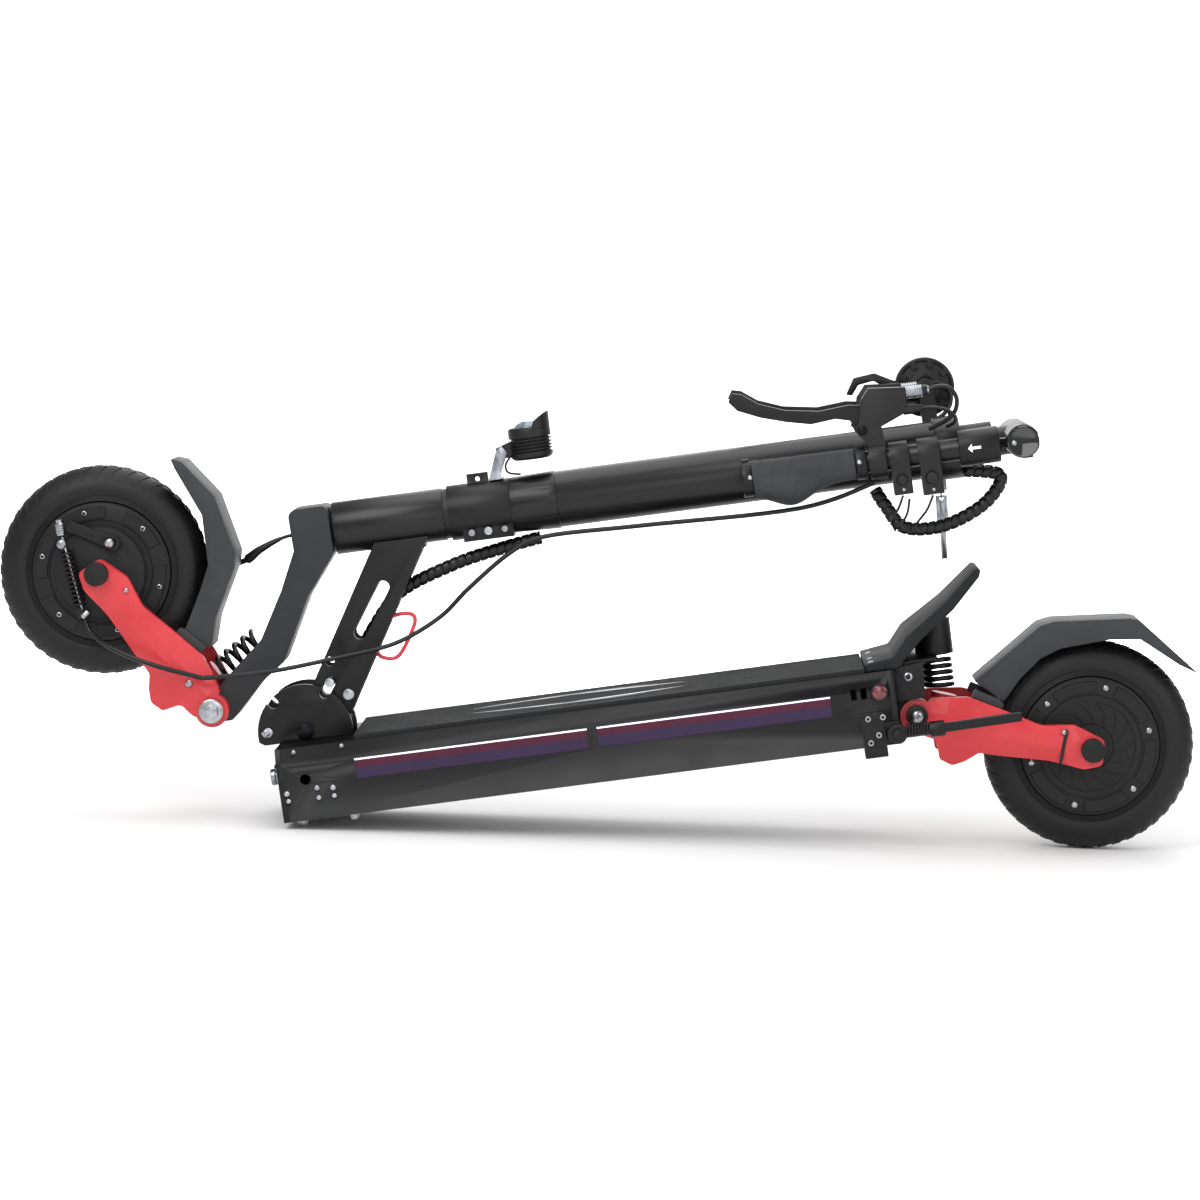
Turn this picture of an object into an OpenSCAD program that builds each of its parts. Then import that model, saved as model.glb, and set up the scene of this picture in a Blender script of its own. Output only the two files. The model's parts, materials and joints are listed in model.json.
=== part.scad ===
// Electric kick scooter, folded: stem down over the deck, fork and front wheel tipped up.
// Everything is drawn in the deck's own frame, X to the rear, Z up from its underside,
// near side at -Y, and lay() then sets the whole scooter down on its rear tyre and front bolts.

/* [Deck] */
// Length of the deck box
deck_l = 632; // [560:1:760]
// Width of the deck box across its crease
deck_w = 184; // [160:1:230]
// Height of the deck box
deck_h = 75; // [66:1:92]
// Wall of the deck box
deck_wall = 3; // [2:0.5:5]
// Height of the crease along the deck's side
crease_z = 57; // [50:1:60]
// Height of the lower edge of the side light windows
window_z = 36; // [30:1:40]
// Height of the side light windows
window_h = 25; // [18:1:27]
// Thickness of the rubber deck mat
mat_t = 5; // [3:0.5:8]
// Height of the nuts under the deck
foot_h = 8; // [6:1:12]

/* [Wheels] */
// Radius of the tyres over the tread
tyre_r = 108; // [100:1:125]
// Radius of the tyre's round section
tyre_section_r = 25; // [22:0.5:29]
// Radius of the rim under the tyre
rim_r = 64; // [56:1:70]
// Radius of the wheel's side cover
cover_r = 71; // [66:1:74]
// Half width of the motor hub between its covers
hub_half = 27; // [25:0.5:30]
// Radius of the wheel axles
axle_r = 7; // [5:0.5:8]

/* [Swingarms] */
// Distance from a swingarm's pivot to its wheel axle
arm_reach = 182; // [175:1:200]
// Angle of the rear swingarm below the deck line
rear_drop = 18.6; // [12:0.2:22]
// Angle of the front swingarm above the deck line, measured at the folded fork
front_rise = 57.8; // [54:0.2:62]
// Distance from the scooter's middle to the inner face of an arm
arm_in = 46; // [44:0.5:52]
// Thickness of a swingarm
arm_t = 14; // [10:0.5:18]
// Radius of the pivot boss of a swingarm
boss_r = 17; // [15:0.5:19]
// Radius of the pivot bolts
pivot_r = 6; // [5:0.5:8]
// Outer radius of the suspension springs
spring_r = 17; // [14:0.5:19]
// Wire radius of the suspension springs
spring_wire_r = 2.6; // [2:0.1:3]

/* [Stem] */
// Height of the steering axis over the deck's underside
head_z = 286; // [278:1:300]
// Radius of the stem tube
stem_r = 29; // [25:0.5:31]
// Radius of the head tube
head_r = 27; // [25:0.5:29]
// Radius of the steerer inside the head tube
steerer_r = 15; // [12:0.5:18]
// Length of the upper stem tube
stem_l = 395; // [360:1:430]
// Half length of the T bar at the top of the stem
tbar_half = 73; // [70:0.5:75]
// Radius of the T bar
tbar_r = 17; // [16:0.5:19]

/* [Handlebars] */
// Radius of the handlebar tubes
bar_r = 11.5; // [10:0.5:12.5]
// Distance from the stem's middle to a folded handlebar
bar_y = 52; // [50:0.5:56]
// Fall of the folded handlebars towards the front, in degrees
bar_droop = 0.6; // [0:0.1:3]
// Length of the grips
grip_l = 122; // [105:1:130]
// Radius of the grips
grip_r = 18; // [16:0.5:19]
// Outer radius of the locking sleeves
sleeve_r = 18.5; // [17.5:0.5:20]

/* [Fold] */
// Height of the fold pivot over the deck's underside
fold_z = 84; // [82:1:90]
// Radius of the hinge cheeks
cheek_r = 49; // [44:1:52]
// Thickness of a hinge cheek
cheek_t = 7; // [5:0.5:9]
// Half width of the channel between the fold arm's plates
arm_gap = 15; // [12:0.5:18]
// Thickness of a fold arm plate
plate_t = 6; // [4:0.5:8]
// Angle that the arm turns from folded to riding
fold_turn = 75; // [70:1:78]
// Radius of the lock pin
lock_r = 5; // [4:0.5:6]

/* [Fits] */
// Radial clearance of bolts and shafts in the bores that turn on them
run_fit = 0.06; // [0.02:0.01:0.1]
// Gap between faces that pass each other
face_gap = 0.5; // [0.3:0.1:1]

/* [Hidden] */
$fn = 48;
black = "#26272a";
charcoal = "#4a4b50";
red = "#e0484a";
rubber = "#1c1c1e";
silver = "#c9c9cc";
eps = 0.01;
big = 400;

// Fold hinge, head and pivots, in the deck's frame
fold_x = 28;
front_pivot = [-60.5, 121];
rear_pivot = [deck_l + 19.5, 23];
front_axle = front_pivot + arm_reach * [-cos(front_rise), sin(front_rise)];
rear_axle = rear_pivot + arm_reach * [cos(rear_drop), -sin(rear_drop)];
front_turn = 180 - front_rise;
head_x0 = 84;
head_x1 = 199;
clamp_x0 = head_x1 + 5;
clamp_x1 = clamp_x0 + 64;
stem_x0 = clamp_x1 + 48;
stem_x1 = stem_x0 + stem_l;
tbar_x = stem_x1 + 81.5;
tbar_z = head_z + 0.5;
arm_out = arm_in + arm_t;
plate_out = arm_gap + plate_t;
cheek_in = plate_out + face_gap;
cheek_out = cheek_in + cheek_t;

// Lying flat on the rear tyre and the front nuts
foot_x = [16, 69];
foot_r = 5.5;
lie_span = rear_axle - [foot_x[0] - foot_r, -foot_h];
lie_angle = asin(tyre_r / norm(lie_span)) - atan2(lie_span[1], lie_span[0]);
lie_low = (foot_x[0] - foot_r) * sin(lie_angle) - foot_h * cos(lie_angle);
front_low_x = front_axle[0] * cos(lie_angle) - front_axle[1] * sin(lie_angle) - tyre_r;
rear_high_x = rear_axle[0] * cos(lie_angle) - rear_axle[1] * sin(lie_angle) + tyre_r;
stand_y = deck_w / 2 + 16;
lie_shift = [-(front_low_x + rear_high_x) / 2, (stand_y - deck_w / 2 - 3) / 2, -lie_low];

// ---- helpers ----

// Sets the deck frame down on the ground
module lay() {
    translate(lie_shift)
        rotate([0, -lie_angle, 0])
            children();
}

// Plate with a side outline, between two Y planes
module side_plate(points, y0, y1) {
    translate([0, max(y0, y1), 0])
        rotate([90, 0, 0])
            linear_extrude(abs(y1 - y0))
                polygon(points);
}

// Round bar along Y through a point of the side view
module cross_bar(at, r, y0, y1) {
    translate([at[0], max(y0, y1), at[1]])
        rotate([90, 0, 0])
            cylinder(h = abs(y1 - y0), r = r);
}

// Round bar along X
module long_bar(x0, x1, r, y = 0, z = head_z) {
    translate([x0, y, z])
        rotate([0, 90, 0])
            cylinder(h = x1 - x0, r = r);
}

// Box between two corners
module block(lo, hi) {
    translate(lo)
        cube(hi - lo);
}

// Both sides of the scooter
module both_sides() {
    children();
    mirror([0, 1, 0])
        children();
}

// Points of an outline with each corner rounded, every corner being [x, z, radius]
function corner(p, q, s, n = 4) =
    let (a = [p[0] - q[0], p[1] - q[1]], b = [s[0] - q[0], s[1] - q[1]])
    let (ua = a / norm(a), ub = b / norm(b), half = acos(ua * ub) / 2)
    let (cut = min(q[2] / tan(half), norm(a) * 0.49, norm(b) * 0.49), r = cut * tan(half))
    q[2] <= 0 ? [[q[0], q[1]]] :
    let (mid = (ua + ub) / norm(ua + ub), c = [q[0], q[1]] + mid * r / sin(half))
    let (from = [q[0], q[1]] + ua * cut - c, to = [q[0], q[1]] + ub * cut - c)
    [for (i = [0:n]) let (v = from * (n - i) + to * i) c + v * r / norm(v)];
function rounded(pts) =
    [for (i = [0:len(pts) - 1])
        each corner(pts[(i + len(pts) - 1) % len(pts)], pts[i], pts[(i + 1) % len(pts)])];

// Points along an arc about the origin
function arc(r, a0, a1, n = 10) = [for (i = [0:n]) let (a = a0 + (a1 - a0) * i / n) r * [cos(a), sin(a)]];
function moved(pts, by) = [for (p = pts) p + by];

// A swept tube: rings of n points around a route of points
function unit(v) = v / norm(v);
function heading(route, i) =
    unit(route[min(i + 1, len(route) - 1)] - route[max(i - 1, 0)]);
function side_of(d) = unit(cross(d, abs(d[1]) > 0.9 ? [0, 0, 1] : [0, 1, 0]));
module tube(route, r, n = 8) {
    rings = [for (i = [0:len(route) - 1])
        let (d = heading(route, i), s = side_of(d), t = cross(d, s))
        for (k = [0:n - 1]) route[i] + r * (cos(360 * k / n) * s + sin(360 * k / n) * t)];
    last = len(route) - 1;
    walls = [for (i = [0:last - 1]) for (k = [0:n - 1])
        [i * n + k, (i + 1) * n + k, (i + 1) * n + (k + 1) % n, i * n + (k + 1) % n]];
    caps = [[for (k = [0:n - 1]) k], [for (k = [n - 1:-1:0]) last * n + k]];
    polyhedron(rings, concat(walls, caps), convexity = 10);
}
// Smooth route through hand-placed points
function blend(a, b, c, d, u) =
    0.5 * (2 * b + (c - a) * u + (2 * a - 5 * b + 4 * c - d) * u * u + (3 * b - a - 3 * c + d) * u * u * u);
function smooth(p, steps) = concat(
    [for (i = [0:len(p) - 2]) for (j = [0:steps - 1])
        blend(p[max(i - 1, 0)], p[i], p[i + 1], p[min(i + 2, len(p) - 1)], j / steps)], [p[len(p) - 1]]);

// ---- deck ----

deck_top_w = deck_w - 16;
deck_low_w = deck_w - 10;
module deck_outline(inset) {
    w = deck_w / 2 - inset;
    t = deck_top_w / 2 - inset;
    b = deck_low_w / 2 - inset;
    c = min(crease_z, deck_h - 10);
    polygon([[-b, inset], [b, inset], [w, c], [t, deck_h - inset], [-t, deck_h - inset], [-w, c]]);
}
module deck_prism(x0, x1, inset) {
    translate([x0, 0, 0])
        rotate([90, 0, 90])
            linear_extrude(x1 - x0)
                deck_outline(inset);
}
window_x = [80, 328];
window_l = 238;
end_t = 6;
module deck_shell() lay() color(black) difference() {
    deck_prism(end_t, deck_l - end_t, 0);
    deck_prism(0, deck_l, deck_wall);
    for (x = window_x)
        block([x, -deck_w, window_z], [x + window_l, deck_w, window_z + window_h - 4]);
    // handle slot through the sides near the front
    cross_bar([fold_x, 42], 5.5, -deck_w, deck_w);
    for (x = [590, 600, 610])
        block([x - 3, -deck_w, 50], [x + 3, deck_w, 61]);
    for (x = foot_x)
        for (y = [-60, 60])
            translate([x, y, -1])
                cylinder(h = 10, r = 3.2);
}
module deck_end_plates() lay() color(black) {
    difference() {
        deck_prism(0, end_t, 0);
        for (y = [-20, 20])
            long_bar(-1, end_t + 1, 8, y, 41);
    }
    deck_prism(deck_l - end_t, deck_l, 0);
}
mat_x0 = fold_x + cheek_r + 5;
mat_x1 = deck_l - 28;
module deck_mat() lay() color(charcoal) difference() {
    block([mat_x0, -deck_top_w / 2 + 3, deck_h], [mat_x1, deck_top_w / 2 - 3, deck_h + mat_t]);
    for (k = [-9:9])
        block([mat_x0 + 12, k * 8 - 1, deck_h + mat_t - 1.2], [mat_x1 - 12, k * 8 + 1, deck_h + mat_t + 1]);
}
// Lens bars fill the windows from inside and lie just under the shell's outer face
module side_lights() lay() color("#7a1140") both_sides()
    for (x = window_x)
        intersection() {
            deck_prism(0, deck_l, deck_wall + 0.3);
            block([x - 4, -deck_w / 2 + 2, window_z - 3], [x + window_l + 4, -deck_w / 2 + 11, window_z + window_h - 1]);
        }
module side_reflectors() lay() color("#8c1226") both_sides()
    cross_bar([deck_l - 16, 55], 9, -deck_w / 2 - 3, -deck_w / 2 - 0.05);
module battery_pack() lay() color("#3b5d8a")
    block([76, -70, deck_wall + 0.3], [430, 70, deck_h - deck_wall - 8]);
module controllers() lay() color("#8d8f94") {
    block([450, -70, deck_wall + 0.3], [540, -5, deck_wall + 41]);
    block([450, 5, deck_wall + 0.3], [540, 70, deck_wall + 41]);
}

// ---- fold hinge ----

fold_at = [fold_x, fold_z];
pin_r = 5;
fold_boss_r = fold_z - deck_h - face_gap;
lock_angle = 56;
lock_in_r = 44;
lock_lift = 12.5;
module cheek(y0, y1) {
    difference() {
        side_plate(concat(
            moved(arc(cheek_r, -6, 186, 24), fold_at),
            [[fold_x - 43, deck_h + 0.05], [fold_x + 48, deck_h + 0.05]]), y0, y1);
        cross_bar(fold_at, pin_r + 0.01, -big, big);
        for (a = [lock_angle, lock_angle + fold_turn])
            translate([fold_x, 0, fold_z])
                rotate([0, -a, 0]) {
                    block([lock_in_r, -big, -lock_r - 0.5], [big, big, lock_r + 0.5]);
                    cross_bar([lock_in_r, 0], lock_r + 0.5, -big, big);
                }
    }
}
module hinge_cheeks() lay() color(black) both_sides()
    cheek(-cheek_out, -cheek_in);
module hinge_pin() lay() color("#333437") {
    cross_bar(fold_at, pin_r, -cheek_out - 1, cheek_out + 1);
    both_sides() {
        cross_bar(fold_at, 8.5, -cheek_out - 3, -cheek_out);
        cross_bar(fold_at, 6.5, -cheek_out - 5, -cheek_out - 3);
    }
}
module screw_y(at, r, y, h) {
    cross_bar(at, r, y - h, y);
}
module deck_fasteners() lay() color(silver) {
    for (x = foot_x)
        for (y = [-60, 60])
            translate([x, y, -foot_h]) {
                cylinder(h = foot_h, r = foot_r);
                cylinder(h = foot_h + 8, r = 3);
            }
    difference() {
        both_sides()
            for (x = [8, 39, 55])
                screw_y([x, 22], 2.4, -deck_low_w / 2 - 1.5, 2);
        deck_prism(-5, deck_l, -0.05);
    }
    both_sides()
        screw_y([fold_x - 38, fold_z + 4], 5, -cheek_out, 2);
}
module charge_ports() lay() color(silver)
    for (y = [-20, 20]) {
        difference() {
            union() {
                long_bar(-9, end_t, 8, y, 41);
                long_bar(-3, 0, 10, y, 41);
            }
            long_bar(-10, -1, 6, y, 41);
        }
        long_bar(-14, -9.05, 8.6, y, 41);
    }

// ---- rear of the deck ----

kick_w = 78;
kick_x = deck_l - 27;
// Footrest: a flat tread over the deck end that turns up over the shock and on to its tip
module kick_plate() lay() color(charcoal) difference() {
    side_plate([[kick_x, deck_h], [kick_x + 32, deck_h], [kick_x + 60, deck_h + 25], [kick_x + 97, deck_h + 50],
        [kick_x + 128, deck_h + 79], [kick_x + 130, deck_h + 86], [kick_x + 125, deck_h + 88],
        [kick_x + 88, deck_h + 58], [kick_x + 46, deck_h + 31], [kick_x + 30, deck_h + 12],
        [kick_x, deck_h + 8]], -kick_w, kick_w);
    // sides drawn in towards the tip
    for (s = [-1, 1])
        translate([kick_x + 45, s * kick_w, 0])
            rotate([0, 0, -s * 22])
                block([0, min(0, s * 90), -1], [160, max(0, s * 90), big]);
}
shock_x = rear_pivot[0] + 28;
shock_top = deck_h + 2;
module rear_brackets() lay() color(black) {
    both_sides() {
        // side cheek that carries the shock cup and the arm's pivot bolt
        side_plate([[deck_l + 0.05, deck_h - 0.5], [deck_l + 32, deck_h + 3], [deck_l + 30, 42],
            [deck_l + 20, 41], [deck_l + 0.05, 41]], -72, -66);
        cross_bar([deck_l + 15, 65], 6, -75, -72);
    }
    // pivot block between the arms
    difference() {
        union() {
            block([deck_l, -arm_in + face_gap + 1, 6], [rear_pivot[0], arm_in - face_gap - 1, 40]);
            cross_bar(rear_pivot, boss_r - 4, -arm_in + face_gap + 1, arm_in - face_gap - 1);
        }
        cross_bar(rear_pivot, pivot_r, -big, big);
    }
    cross_bar(rear_pivot, pivot_r - run_fit, -arm_out - 5, arm_out + 5);
    both_sides()
        cross_bar(rear_pivot, 11, -arm_out - 6, -arm_out - 1.5);
    // shock cup under the footrest
    difference() {
        translate([shock_x, 0, shock_top])
            cylinder(h = 36, r = 19.5);
        side_plate([[kick_x + 29, deck_h - 10], [kick_x + 60.5, deck_h + 24.6], [kick_x + 97, deck_h + 49.6],
            [kick_x + 128, deck_h + 78], [kick_x, deck_h + 140]], -80, 80);
    }
    block([deck_l, -66, deck_h - 8], [deck_l + 16, 66, deck_h - 0.1]);
    block([deck_l + 13, -66, deck_h - 8], [deck_l + 16, 66, shock_top + 3]);
    block([deck_l + 13, -66, shock_top], [shock_x, 66, shock_top + 3]);
}
module coil(turns, r, wire, h) {
    route = [for (i = [0:turns * 12]) [r * cos(i * 30), r * sin(i * 30), h * i / (turns * 12)]];
    tube(route, wire, 8);
}
rear_seat = 41.5;
module rear_spring() lay() color(rubber)
    translate([shock_x, 0, rear_seat + spring_wire_r + 0.3])
        coil(4.5, spring_r - spring_wire_r, spring_wire_r, shock_top - rear_seat - 2 * spring_wire_r - 0.6);
stand_at = [rear_pivot[0] - 23, 12];
module kickstand_bracket() lay() color(black) {
    y0 = -deck_w / 2;
    difference() {
        union() {
            block([deck_l - 38, y0 - 5, -10], [deck_l - 15, -deck_low_w / 2 - 0.5, 36]);
            block([deck_l - 38, y0 - 5, -10], [deck_l - 15, -60, -0.05]);
        }
        deck_prism(0, deck_l, -0.05);
    }
    cross_bar(stand_at, 5 - run_fit, y0 - 16, y0 + 1);
    difference() {
        block([deck_l - 16, y0 - 1, 2], [deck_l, y0 + 4, 24]);
        deck_prism(0, deck_l, -0.05);
    }
    for (p = [[-31, 30], [-16, 30], [-22, 12], [-31, 5]])
        cross_bar([deck_l + p[0], p[1]], 4, y0 - 7.5, y0 - 5);
}
module kickstand() lay() color(black) {
    y0 = -deck_w / 2 - 1 - face_gap;
    difference() {
        cross_bar(stand_at, 10, y0 - 12, y0);
        cross_bar(stand_at, 5, -big, big);
    }
    translate([stand_at[0] + 8, y0 - 6, stand_at[1]])
        rotate([0, 90, 0])
            cylinder(h = 38, r = 5.5);
    translate([stand_at[0] + 33, y0 - 6, stand_at[1]])
        rotate([0, 90, 0])
            cylinder(h = 15, r = 8);
    translate([stand_at[0] + 46, y0 - 6, stand_at[1]])
        rotate([0, 89, 0])
            cylinder(h = 80, r = 5);
}

// ---- swingarms and wheels ----

arm_shape = [[0, -17, 9], [25, -21, 8], [32, -40, 4], [46, -44, 8], [58, -37, 4], [70, -26, 8], [90, -25, 30],
    [140, -20, 30], [arm_reach - 4, -21, 10], [arm_reach + 13, -14, 6], [arm_reach + 10, 12, 6],
    [arm_reach - 22, 21, 12], [arm_reach - 55, 14, 20], [90, 21, 30], [48, 28, 20], [8, 19, 10]];
// An arm lies along +X from its pivot, with its fender side up
module swingarm() {
    both_sides()
        difference() {
            union() {
                side_plate(rounded(arm_shape), -arm_out, -arm_in);
                cross_bar([0, 0], boss_r, -arm_out, -arm_in);
            }
            cross_bar([0, 0], pivot_r, -big, big);
            cross_bar([arm_reach, 0], axle_r, -big, big);
        }
    // web that joins the two arms, with the spring's seat
    difference() {
        union() {
            side_plate([[22, -14], [44, -14], [44, 12], [22, 12]], -arm_in, arm_in);
            translate([27, 0, 5])
                cylinder(h = 17.5, r = 13);
        }
        translate([33, 0, -30])
            cylinder(h = 30, r = 5);
    }
}
module rear_frame() {
    translate([rear_pivot[0], 0, rear_pivot[1]])
        rotate([0, rear_drop, 0])
            children();
}
module front_frame() {
    translate([front_pivot[0], 0, front_pivot[1]])
        rotate([0, -front_turn, 0])
            mirror([0, 0, 1])
                children();
}
module rear_swingarm() lay() color(red) rear_frame()
    swingarm();
module front_swingarm() lay() color(red) front_frame()
    swingarm();

fender_y = 34;
fender_t = 3;
// Mudguard: outer and inner edge of its side, then a shell with the inside taken out
module fender(outer, inner) {
    difference() {
        side_plate(concat(outer, inner), -fender_y, fender_y);
        side_plate(concat([for (p = outer) p - [0.6, fender_t]], [[outer[len(outer) - 1][0] + 40, -60]],
            [[outer[0][0], -60]]), -fender_y + fender_t, fender_y - fender_t);
    }
    // strap from the mudguard down to the arms
    both_sides()
        side_plate(concat([[52, 26.5], [84, 18]], round_tyre([[86, 27], [80, 31], [54, 36]])),
            -arm_in + 0.3, -fender_y);
}
// Outlines are drawn for this tyre, and move out from the axle with a larger one
drawn_tyre_r = 108;
function round_tyre(pts) = [for (p = pts) p + (tyre_r - drawn_tyre_r) * unit(p - [arm_reach, 0])];
rear_outer = [[53, 43], [74, 70], [107, 112], [120, 119], [195, 137], [205, 137], [275, 95]];
rear_inner = [[254, 100], [210, 118], [180, 112], [132, 93], [114, 79], [98, 55], [86, 28]];
front_outer = [[50, 37], [70, 60], [98, 109], [108, 119], [166, 140], [215, 137], [224, 130]];
front_inner = [[214, 127], [160, 118], [117, 90], [104, 70], [80, 27]];
module rear_fender() lay() color(charcoal) rear_frame()
    fender(round_tyre(rear_outer), round_tyre(rear_inner));
module front_fender() lay() color(charcoal) front_frame()
    fender(round_tyre(front_outer), round_tyre(front_inner));

hub_side = hub_half + 4;
module axle_set(brake_side) {
    at = [arm_reach, 0];
    cross_bar(at, axle_r - 0.01, -arm_out - 6, arm_out + 6);
    both_sides() {
        difference() {
            cross_bar(at, 12, -arm_out - 10, -arm_out - 0.05);
            cross_bar(at, axle_r - 0.01, -arm_out - 6, 0);
        }
        difference() {
            cross_bar(at, 10, -arm_in + 0.05, -hub_side - 8);
            cross_bar(at, axle_r - 0.01, -big, big);
        }
    }
    // brake plate that stays still beside the hub
        difference() {
            union() {
                cross_bar(at, 46, brake_side * (hub_side + 1), brake_side * (hub_side + 5));
                cross_bar(at, 14, brake_side * (hub_side + 5), brake_side * (hub_side + 7.9));
            }
            cross_bar(at, axle_r - 0.01, -big, big);
            cross_bar([arm_reach + 14, 30], 3, -big, big);
        }
    cross_bar([arm_reach + 14, 30], 3 - run_fit, brake_side * (hub_side + 2), brake_side * (hub_side + 14));
    // cable stop on the plate's rim
    side_plate([[arm_reach - 24, -38], [arm_reach - 14, -38], [arm_reach - 14, -46], [arm_reach - 24, -48]],
        brake_side * (hub_side + 5), brake_side * (hub_side + 11));
}
module rear_axle_set() lay() color("#3a3c42") rear_frame()
    axle_set(1);
module front_axle_set() lay() color("#3a3c42") front_frame()
    axle_set(-1);

// Lever that turns the brake cam
module brake_arm(brake_side) {
    y0 = brake_side * (hub_side + 6);
    y1 = brake_side * (hub_side + 10);
    difference() {
        union() {
            cross_bar([arm_reach + 14, 30], 7, y0, y1);
            side_plate([[arm_reach + 10, 24], [arm_reach + 54, 3], [arm_reach + 58, 12], [arm_reach + 18, 36]], y0, y1);
        }
        cross_bar([arm_reach + 14, 30], 3, -big, big);
    }
    cross_bar([arm_reach + 54, 8], 6, y0, y1 + 2 * brake_side);
}
module rear_brake_arm() lay() color(silver) rear_frame()
    brake_arm(1);
module front_brake_arm() lay() color(silver) front_frame()
    brake_arm(-1);

module washer_y(outer, inner, y0, y1) {
    difference() {
        cross_bar([0, 0], outer, y0, y1);
        cross_bar([0, 0], inner, y0 - 1, y1 + 1);
    }
}
module tyre() {
    rotate([90, 0, 0])
        rotate_extrude($fn = 96)
            difference() {
                translate([tyre_r - tyre_section_r, 0])
                    circle(r = tyre_section_r);
                translate([0, -50])
                    square([rim_r, 100]);
            }
}
module hub() {
    difference() {
        union() {
            cross_bar([0, 0], rim_r - eps, -hub_half, hub_half);
            both_sides()
                cross_bar([0, 0], cover_r, -hub_half, -tyre_section_r + 1.2);
        }
        cross_bar([0, 0], axle_r + 2, -big, big);
    }
}
// Side covers with their six screws
module hub_covers() {
    both_sides() {
        washer_y(cover_r - 2, axle_r + 6, -hub_half - 2.5, -hub_half);
        for (a = [0:60:300])
            rotate([0, a + 8, 0])
                cross_bar([64, 0], 4, -hub_side, -hub_half - 2.5);
    }
    both_sides()
        washer_y(axle_r + 5.9, axle_r + run_fit, -hub_half - 3, -hub_half + 8);
}
module at_axle(p) {
    translate([p[0], 0, p[1]])
        children();
}
module rear_tyre() lay() color(rubber) at_axle(rear_axle)
    tyre();
module rear_hub() lay() color("#2d2e31") at_axle(rear_axle) {
    hub();
    hub_covers();
}
module front_tyre() lay() color(rubber) at_axle(front_axle)
    tyre();
module front_hub() lay() color("#2d2e31") at_axle(front_axle) {
    hub();
    hub_covers();
}

// ---- fold arm, head and stem ----

plate_shape = [[fold_x - fold_boss_r, fold_z, 0], [fold_x - 6, fold_z - 6, 0], [fold_x + 6, fold_z - 6, 0],
    [fold_x + 48, fold_z + 12, 6], [180, head_z - 19, 0], [124, head_z - 19, 0],
    [fold_x + 8, fold_z + 38, 10]];
slot_a = [127, 221];
slot_b = [97, 177];
module arm_plate() {
    difference() {
        side_plate(rounded(plate_shape), -plate_out, -arm_gap);
        cross_bar(fold_at, pin_r + run_fit, -big, big);
        cross_bar([62, 152], 5, -big, big);
        // slot in which the lock pin slides
        translate([fold_x, 0, fold_z])
            rotate([0, -lock_angle, 0])
                block([lock_in_r - 0.5, -big, -lock_r - 0.5], [lock_in_r + lock_lift + 0.5, big, lock_r + 0.5]);
        translate([fold_x, 0, fold_z])
            rotate([0, -lock_angle, 0]) {
                cross_bar([lock_in_r - 0.5, 0], lock_r + 0.5, -big, big);
                cross_bar([lock_in_r + lock_lift + 0.5, 0], lock_r + 0.5, -big, big);
            }
        cross_bar(slot_a, 6.5, -big, big);
        cross_bar(slot_b, 6.5, -big, big);
        translate([slot_b[0], 0, slot_b[1]])
            rotate([0, -atan2(slot_a[1] - slot_b[1], slot_a[0] - slot_b[0]), 0])
                block([0, -big, -6.5], [norm(slot_a - slot_b), big, 6.5]);
    }
}
module fold_arm() lay() color(black) difference() {
    union() {
        both_sides()
            arm_plate();
        // cross wall that joins the two plates below the head tube
        side_plate([[124, head_z - 30], [176, head_z - 30], [176, head_z - 22], [124, head_z - 22]],
            -arm_gap, arm_gap);
        difference() {
            cross_bar(fold_at, fold_boss_r, -plate_out, plate_out);
            cross_bar(fold_at, pin_r + run_fit, -big, big);
        }
    }
    long_bar(head_x0 - 5, head_x1 + 5, head_r + 0.04);
}
module head_tube() lay() color(black) difference() {
    long_bar(head_x0, head_x1, head_r);
    long_bar(head_x0 - 1, head_x1 + 1, steerer_r + run_fit);
}
module arm_fasteners() lay() color(silver) both_sides()
    cross_bar([77, 116], 6, -plate_out - 4, -plate_out);
module lock_frame() {
    translate([fold_x, 0, fold_z])
        rotate([0, -lock_angle, 0])
            translate([lock_in_r + lock_lift, 0, 0])
                children();
}
module lock_pin() lay() color(silver) lock_frame()
    cross_bar([0, 0], lock_r, -cheek_out - 1, cheek_out + 1);
ring_y = -9.5;
module lock_ring() lay() color("#e0303c") {
    // pull ring of bent wire behind the arm
    translate([134, ring_y, 170])
        rotate([0, 22, 0])
            rotate([90, 0, 0])
                rotate_extrude()
                    translate([21, 0])
                        circle(r = 1.8);
    // pull wire from the lock pin to the ring, between the plates
    tube([[65, ring_y, 132], [80, ring_y, 139], [96, ring_y, 146], [110, ring_y, 153], [115, ring_y, 158]], 1.8, 8);
}

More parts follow.
